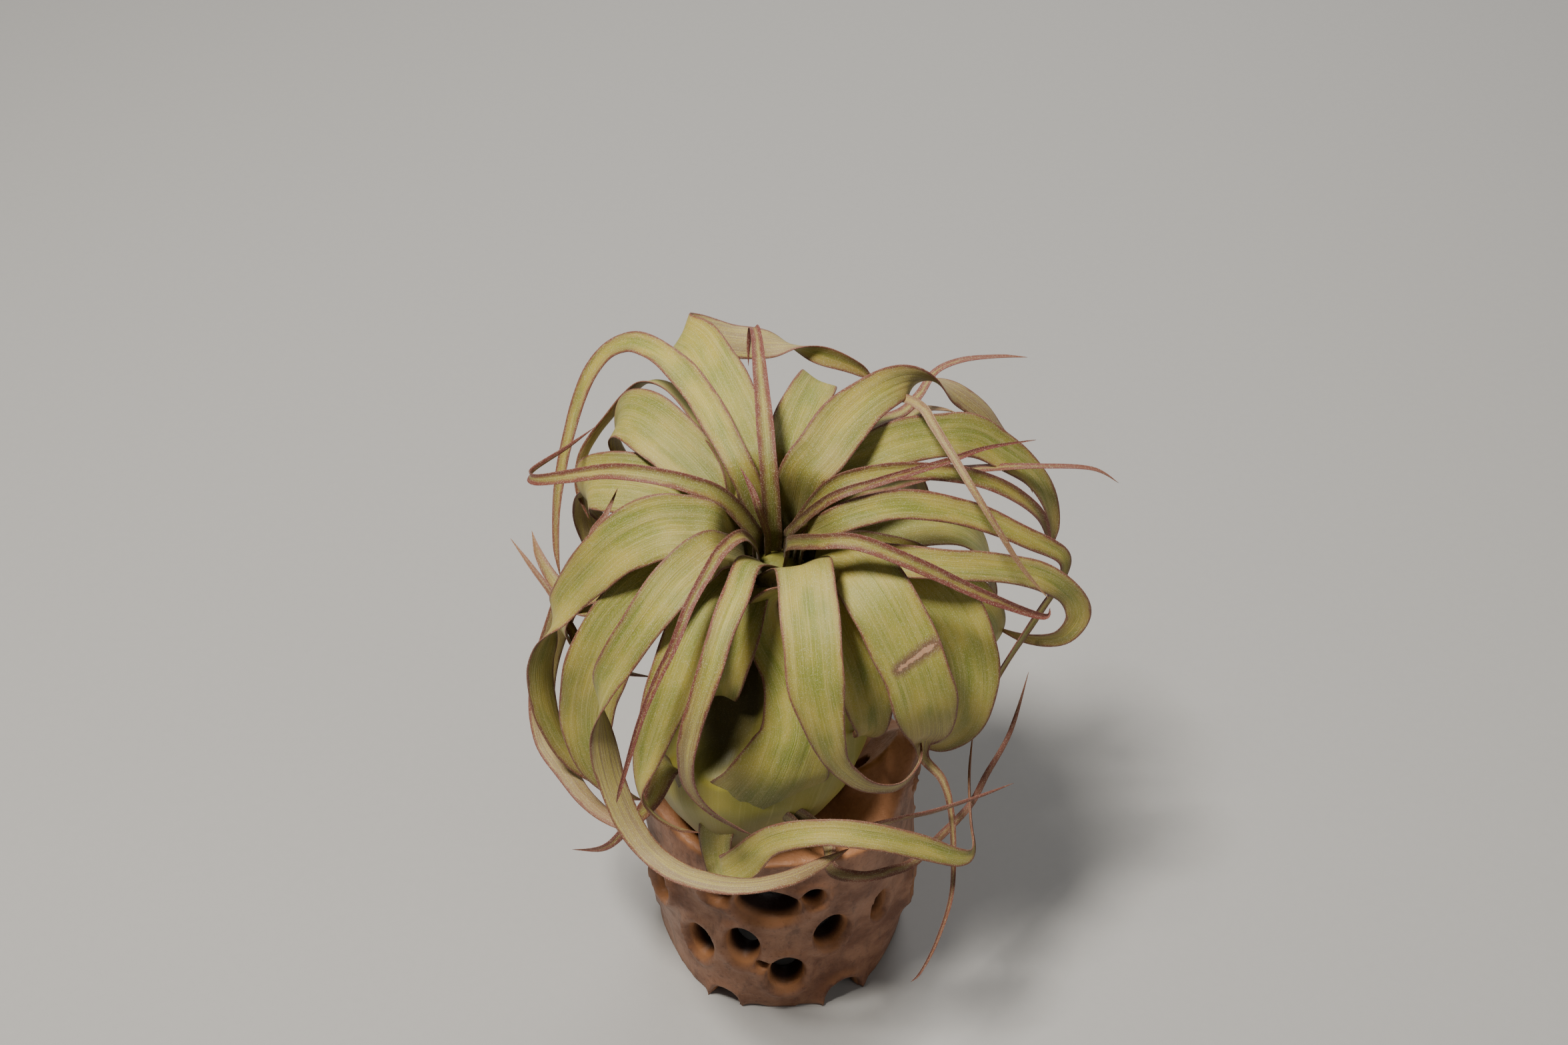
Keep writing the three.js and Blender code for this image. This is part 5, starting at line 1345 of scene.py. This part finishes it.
def scarred(skin, colour, colours):
    """A scraped streak across the leaf, pale inside a brown rim."""
    along = skin.calc("SUBTRACT", skin.value_of("along"), SCAR_START[0])
    aside = skin.calc("SUBTRACT", skin.value_of("offset"), SCAR_START[1])
    run = (SCAR_END[0] - SCAR_START[0], SCAR_END[1] - SCAR_START[1])
    length = math.hypot(*run)
    reach = skin.calc("ADD", skin.times(along, run[0] / length ** 2),
                      skin.times(aside, run[1] / length ** 2))
    nearest = skin.node("ShaderNodeClamp", {0: reach}).outputs[0]
    gap_along = skin.calc("SUBTRACT", along, skin.times(nearest, run[0]))
    gap_aside = skin.calc("SUBTRACT", aside, skin.times(nearest, run[1]))
    gap = skin.calc("SQRT", skin.calc("ADD", skin.times(gap_along, gap_along),
                                      skin.times(gap_aside, gap_aside)))
    ragged = skin.noise(skin.place(), SCAR_NOISE_SCALE, detail=3.0)
    raggedness = skin.times(skin.calc("SUBTRACT", ragged, NOISE_MIDDLE), SCAR_RAGGED)
    gap = skin.calc("ADD", gap, raggedness)
    rim = skin.times(skin.value_of("upper"), skin.ramp(gap, *SCAR_RIM_REACH))
    core = skin.times(skin.value_of("upper"), skin.ramp(gap, *SCAR_CORE_REACH))
    return skin.mix(core, skin.mix(rim, colour, colours.scar_rim), colours.scar)


def bulb_finish(colours):
    """Smooth pale leaf bases with faint lines, their tones darkened by painted shade, more painted
    shade in the gap at the front, and dry at the foot.
    """
    skin = Finish("leaf_base_skin", **SKIN)
    around = skin.point(
        skin.times(skin.value_of("round"), BULB_STRIPES),
        skin.times(skin.value_of("turn"), BULB_STRIPES), 0.0)
    stripes = skin.noise(around, detail=3.0, roughness=0.6)
    blotches = skin.noise(skin.place(), BULB_BLOTCH_SCALE, detail=3.0)
    scurf = skin.noise(skin.place(), SCURF_SCALE, detail=2.0, roughness=0.7)
    sheath_shade = skin.times(skin.value_of("shade"), BULB_SHEATH_SHADE)
    # Painted shade: the gap at the front is painted dark on top of its dent
    recess_shade = skin.times(skin.value_of("recess"), BULB_RECESS_SHADE)
    dry_foot = skin.ramp(skin.value_of("foot"), *BULB_DRY_FOOT)
    aged_edge = skin.ramp(skin.value_of("edge"), *BULB_EDGES)
    # The bases' own olive tones, darkened further as painted shade for the ball of leaves above them
    colour = skin.mix(skin.ramp(blotches, *BULB_BLOTCHES), colours.bulb_pale_with_painted_shade, colours.bulb_green_with_painted_shade)
    colour = skin.mix(sheath_shade, colour, colours.leaf_face)
    colour = skin.mix(skin.ramp(stripes, *BULB_STRIPE_SHARE), colour, colours.leaf_stripe)
    colour = skin.mix(dry_foot, colour, colours.bulb_foot)
    colour = skin.mix(aged_edge, colour, colours.leaf_aged)
    colour = skin.mix(recess_shade, colour, colours.painted_deep_shade)
    colour = skin.mix(skin.ramp(scurf, *BULB_SCURF), colour, colours.scurf)
    ribs = skin.bump(stripes, STRIPE_RELIEF, BULB_RIB_BUMP)
    return skin.finished(colour, skin.bump(scurf, SCURF_RELIEF, BULB_GRAIN_BUMP, under=ribs))


def hair_finish(colours):
    fuzz = Finish(HAIR_FINISH, roughness=0.6, sheen=0.1, shine=0.3)
    tone = fuzz.noise(fuzz.place(), HAIR_TONE_SCALE)
    colour = fuzz.mix(fuzz.ramp(tone, *HAIR_TONES), colours.hair, colours.leaf_margin)
    return fuzz.finished(colour, fuzz.bump(tone, SCURF_RELIEF, HAIR_BUMP))


def wood_finish(colours):
    """Weathered wood: streaks of grain up the tube, worn pale ridges, a painted highlight on upward
    faces and at the holes' lips, and painted shade inside its holes.
    """
    wood = Finish("weathered_wood", roughness=0.5, shine=0.4)
    place = wood.place()
    streak_place = wood.node("ShaderNodeVectorMath", {
        0: place, 1: (1.0, 1.0, WOOD_STREAK_STRETCH)}, operation="MULTIPLY").outputs[0]
    streaks = wood.noise(streak_place, WOOD_STREAK_SCALE, detail=5.0, roughness=0.65)
    clouds = wood.noise(place, WOOD_CLOUD_SCALE, detail=6.0, roughness=0.62)
    pits = wood.noise(place, WOOD_PIT_SCALE, detail=3.0, roughness=0.7)
    colour = wood.mix(wood.ramp(clouds, *WOOD_CLOUDS), colours.wood_light, colours.wood_warm)
    colour = wood.mix(wood.ramp(streaks, *WOOD_STREAKS), colour, colours.wood_dark)
    colour = wood.mix(wood.ramp(pits, *WOOD_PITS), colour, colours.wood_dark)
    # Painted highlight: upward faces and the lips just inside the holes are painted light orange, as if
    # lit from above
    facing = wood.node("ShaderNodeNewGeometry", {}).outputs["Normal"]
    upward = wood.node("ShaderNodeSeparateXYZ", {0: facing}).outputs["Z"]
    colour = wood.mix(wood.ramp(upward, *WOOD_UPWARD_PAINTED_HIGHLIGHT), colour, colours.wood_lip_painted_highlight)
    hollow = wood.value_of("hollow")
    colour = wood.mix(wood.ramp(hollow, *WOOD_LIP_PAINTED_HIGHLIGHT), colour, colours.wood_lip_painted_highlight)
    colour = wood.mix(wood.ramp(hollow, *WOOD_HOLE_PAINTED_SHADE), colour, colours.wood_hole_painted_shade)
    grain = wood.bump(streaks, WOOD_STREAK_RELIEF, WOOD_GRAIN_BUMP)
    fine = wood.bump(pits, WOOD_PIT_RELIEF, WOOD_PIT_BUMP, under=grain)
    return wood.finished(colour, fine, wood.ramp(clouds, *WOOD_ROUGHNESS))


# The stage: a plain floor, soft lights and the camera

FLOOR_SIZE = 6.0
# The camera stands this far right of and above the line from the mouth to the viewpoint, in mm, so
# that the plant stands in the frame where the photo has it; its lens and sensor are in mm too
CAMERA_RIGHT = 2.6
CAMERA_UP = 5.6
CAMERA_LENS = 45.94
SENSOR_WIDTH = 36.0
# Each light: name, place in metres, size, power in watts and warmth of its colour
LIGHTS = [
    ("key_light", (-0.40, -0.22, 1.42), 0.28, 29.0, (1.0, 0.96, 0.9)),
    ("fill_light", (0.9, -0.6, 0.75), 0.9, 2.0, (1.0, 0.97, 0.94)),
    ("rim_light", (0.2, 1.0, 0.9), 0.8, 6.0, (0.97, 0.98, 1.0)),
]
SURROUND_LIGHT = 0.09
SURROUND_COLOUR = (0.9, 0.92, 0.95)


def add_floor(colours):
    half = FLOOR_SIZE / 2
    mesh = bpy.data.meshes.new("studio_floor")
    corners = [(-half, -half, 0), (half, -half, 0), (half, half, 0), (-half, half, 0)]
    mesh.from_pydata(corners, [], [(0, 1, 2, 3)])
    paper = Finish("pale_paper", roughness=0.9, shine=0.2)
    grain = paper.noise(paper.place(), PAPER_GRAIN_SCALE, detail=3.0)
    colour = paper.mix(grain, colours.floor, colours.floor_grain)
    mesh.materials.append(paper.finished(colour, paper.bump(grain, PAPER_RELIEF, PAPER_BUMP)))
    floor = bpy.data.objects.new("studio_floor", mesh)
    bpy.context.scene.collection.objects.link(floor)


def add_lights():
    for name, place, size, power, colour in LIGHTS:
        light = bpy.data.lights.new(name, "AREA")
        light.shape = "DISK"
        light.size = size
        light.energy = power
        light.color = colour
        lamp = bpy.data.objects.new(name, light)
        lamp.location = place
        aim = Vector(((MOUTH + CENTRING) * MM).tolist()) - lamp.location
        lamp.rotation_euler = aim.to_track_quat("-Z", "Y").to_euler()
        bpy.context.scene.collection.objects.link(lamp)
    world = bpy.data.worlds.new("soft_studio")
    world.use_nodes = True
    background = world.node_tree.nodes["Background"]
    background.inputs["Color"].default_value = (*SURROUND_COLOUR, 1)
    background.inputs["Strength"].default_value = SURROUND_LIGHT
    bpy.context.scene.world = world


def add_camera():
    place = MOUTH + CENTRING + VIEW_DISTANCE * NEAR + CAMERA_RIGHT * RIGHT + CAMERA_UP * UP
    lens = bpy.data.cameras.new("photo_camera")
    lens.lens = CAMERA_LENS
    lens.sensor_width = SENSOR_WIDTH
    lens.sensor_fit = "HORIZONTAL"
    camera = bpy.data.objects.new("photo_camera", lens)
    camera.location = (place * MM).tolist()
    camera.rotation_euler = (VIEW_HEIGHT_ANGLE, 0, 0)
    bpy.context.scene.collection.objects.link(camera)
    bpy.context.scene.camera = camera


# The add-on's settings, operators and panel

# Leaves up to this layer are the young ones
LAST_YOUNG_LAYER = 5
SHORTEST_SETTING = 0.00002


def length_setting(name, description, default):
    return bpy.props.FloatProperty(
        name=name, description=description, default=default, min=SHORTEST_SETTING, precision=5,
        unit="LENGTH")


def colour_setting(name, description, default):
    return bpy.props.FloatVectorProperty(
        name=name, description=description, default=default, size=3, min=0, max=1, subtype="COLOR")


class AirPlantSizes(bpy.types.PropertyGroup):
    """Sizes of the plant's fine forms and of the wood's detail."""

    leaf_thickness: length_setting("Leaf thickness", "Along the middle of a broad leaf", 0.0009)
    hair_length: length_setting("Hair length", "The fuzz along the leaves' edges", 0.0004)
    hair_spacing: length_setting("Hair spacing", "Between two hairs along an edge", 0.00055)
    hair_radius: length_setting("Hair radius", "At the foot of a hair", 0.00004)
    wood_grid: length_setting("Wood grid", "Width of the wood's faces", 0.0011)


class AirPlantColours(bpy.types.PropertyGroup):
    """Colours of the plant, the wood and the floor."""

    leaf_face: colour_setting("Leaf face", "Pale upper side", (0.43, 0.36, 0.045))
    leaf_green: colour_setting("Leaf green", "Greener parts of the upper side", (0.19, 0.23, 0.018))
    leaf_vein: colour_setting("Leaf vein", "Broad paler lines along a leaf", (0.48, 0.41, 0.10))
    leaf_stripe: colour_setting("Leaf stripe", "Fine pale stripes along a leaf", (0.58, 0.50, 0.17))
    leaf_blush: colour_setting("Leaf blush", "Young and channelled leaves", (0.15, 0.042, 0.036))
    leaf_back: colour_setting("Leaf back", "Fuzzy grey underside", (0.30, 0.22, 0.11))
    leaf_margin: colour_setting("Leaf edge", "Red line along the edges", (0.16, 0.036, 0.03))
    leaf_tip: colour_setting("Leaf tip", "Wine-red tips", (0.14, 0.035, 0.035))
    leaf_dry: colour_setting("Dry tip", "Tan, dried ends", (0.33, 0.17, 0.07))
    leaf_aged: colour_setting("Aged leaf", "Papery older skin", (0.34, 0.24, 0.12))
    # Painted shade: the dark colour painted deep in the funnel and in the bulb's front gap
    painted_deep_shade: colour_setting("Funnel", "Deep inside the rosette", (0.06, 0.045, 0.012))
    scurf: colour_setting("Scales", "Fine silvery scales", (0.72, 0.66, 0.46))
    scar: colour_setting("Scar", "Scraped streak on one leaf", (0.55, 0.31, 0.18))
    scar_rim: colour_setting("Scar rim", "Brown rim of the streak", (0.14, 0.045, 0.05))
    hair: colour_setting("Hair", "Pale fuzz on the edges", (0.50, 0.33, 0.22))
    # The leaf bases' own olive tones, darkened further by painted shade
    bulb_pale_with_painted_shade: colour_setting("Bulb pale", "Pale leaf bases", (0.25, 0.215, 0.04))
    bulb_green_with_painted_shade: colour_setting("Bulb green", "Greener leaf bases", (0.13, 0.15, 0.016))
    bulb_foot: colour_setting("Bulb foot", "Dry brown foot of the bulb", (0.22, 0.13, 0.06))
    wood_light: colour_setting("Wood light", "Worn ridges", (0.36, 0.17, 0.09))
    wood_warm: colour_setting("Wood warm", "Orange-brown wood", (0.14, 0.05, 0.022))
    # Painted highlight on upward-facing wood and just inside the holes' lips
    wood_lip_painted_highlight: colour_setting("Wood lip", "Worn lips round the holes", (0.46, 0.20, 0.075))
    wood_dark: colour_setting("Wood dark", "Dark streaks", (0.06, 0.02, 0.01))
    # Painted shade inside the holes and the hollow
    wood_hole_painted_shade: colour_setting("Wood hollow", "Inside the holes", (0.03, 0.012, 0.006))
    floor: colour_setting("Floor", "Plain pale floor", (0.44, 0.43, 0.41))
    floor_grain: colour_setting("Floor grain", "Faint grain of the floor", (0.42, 0.41, 0.39))


def leaf_materials(colours):
    """The leaf finishes, made once and shared by the leaves that ask for them."""
    for name in (LEAF_FINISH, SCARRED_FINISH):
        if name not in bpy.data.materials:
            leaf_finish(name, colours)
    return bpy.data.materials[LEAF_FINISH], bpy.data.materials[SCARRED_FINISH]


def make_leaves(leaves, hair_name, scene):
    plain, scarred_skin = leaf_materials(scene.air_plant_colours)
    for leaf in leaves:
        skin = scarred_skin if leaf["name"] == SCARRED_LEAF else plain
        leaf_piece(leaf, skin, scene.air_plant_sizes)
    if HAIR_FINISH not in bpy.data.materials:
        hair_finish(scene.air_plant_colours)
    hair_piece(hair_name, leaves, bpy.data.materials[HAIR_FINISH], scene.air_plant_sizes)


class AIRPLANT_OT_wood(bpy.types.Operator):
    """Make the hollow wood stand with its worn holes"""

    bl_idname = "airplant.make_wood"
    bl_label = "Make wood stand"

    def execute(self, context):
        wood_piece(wood_finish(context.scene.air_plant_colours), context.scene.air_plant_sizes)
        return {"FINISHED"}


class AIRPLANT_OT_bulb(bpy.types.Operator):
    """Make the bulb of overlapping leaf bases"""

    bl_idname = "airplant.make_bulb"
    bl_label = "Make bulb"

    def execute(self, context):
        bulb_piece(bulb_finish(context.scene.air_plant_colours))
        return {"FINISHED"}


class AIRPLANT_OT_young_leaves(bpy.types.Operator):
    """Make the youngest leaves, which rise nearest the middle of the funnel"""

    bl_idname = "airplant.make_young_leaves"
    bl_label = "Make young leaves"

    def execute(self, context):
        young = [leaf for leaf in LEAVES if leaf["layer"] <= LAST_YOUNG_LAYER]
        make_leaves(young, "hair_on_young_leaves", context.scene)
        return {"FINISHED"}


class AIRPLANT_OT_old_leaves(bpy.types.Operator):
    """Make the older leaves of the ball and the lowest ones on the bulb's side"""

    bl_idname = "airplant.make_old_leaves"
    bl_label = "Make old leaves"

    def execute(self, context):
        old = [leaf for leaf in LEAVES if leaf["layer"] > LAST_YOUNG_LAYER]
        make_leaves(old, "hair_on_old_leaves", context.scene)
        return {"FINISHED"}


class AIRPLANT_OT_back_leaves(bpy.types.Operator):
    """Make the leaves that fill the back of the ball"""

    bl_idname = "airplant.make_back_leaves"
    bl_label = "Make back leaves"

    def execute(self, context):
        make_leaves(back_leaves(), "hair_on_back_leaves", context.scene)
        return {"FINISHED"}


class AIRPLANT_OT_stage(bpy.types.Operator):
    """Set the floor, the lights and the camera"""

    bl_idname = "airplant.set_stage"
    bl_label = "Set stage"

    def execute(self, context):
        add_camera()
        add_floor(context.scene.air_plant_colours)
        add_lights()
        return {"FINISHED"}


OPERATORS = [
    AIRPLANT_OT_stage, AIRPLANT_OT_wood, AIRPLANT_OT_bulb, AIRPLANT_OT_young_leaves,
    AIRPLANT_OT_old_leaves, AIRPLANT_OT_back_leaves,
]


class AIRPLANT_PT_panel(bpy.types.Panel):
    """Sizes, colours and steps of the air plant"""

    bl_label = "Air plant on wood"
    bl_idname = "AIRPLANT_PT_panel"
    bl_space_type = "VIEW_3D"
    bl_region_type = "UI"
    bl_category = "Air plant"

    def draw(self, context):
        scene = context.scene
        for operator in OPERATORS:
            self.layout.operator(operator.bl_idname)
        for group in (scene.air_plant_sizes, scene.air_plant_colours):
            box = self.layout.box()
            for setting in group.__annotations__:
                box.prop(group, setting)


CLASSES = [AirPlantSizes, AirPlantColours, *OPERATORS, AIRPLANT_PT_panel]


def register():
    for entry in CLASSES:
        bpy.utils.register_class(entry)
    bpy.types.Scene.air_plant_sizes = bpy.props.PointerProperty(type=AirPlantSizes)
    bpy.types.Scene.air_plant_colours = bpy.props.PointerProperty(type=AirPlantColours)


def unregister():
    del bpy.types.Scene.air_plant_colours
    del bpy.types.Scene.air_plant_sizes
    for entry in reversed(CLASSES):
        bpy.utils.unregister_class(entry)


def main():
    register()
    bpy.ops.airplant.set_stage()
    bpy.ops.airplant.make_wood()
    bpy.ops.airplant.make_bulb()
    bpy.ops.airplant.make_young_leaves()
    bpy.ops.airplant.make_old_leaves()
    bpy.ops.airplant.make_back_leaves()


if __name__ == "__main__":
    main()
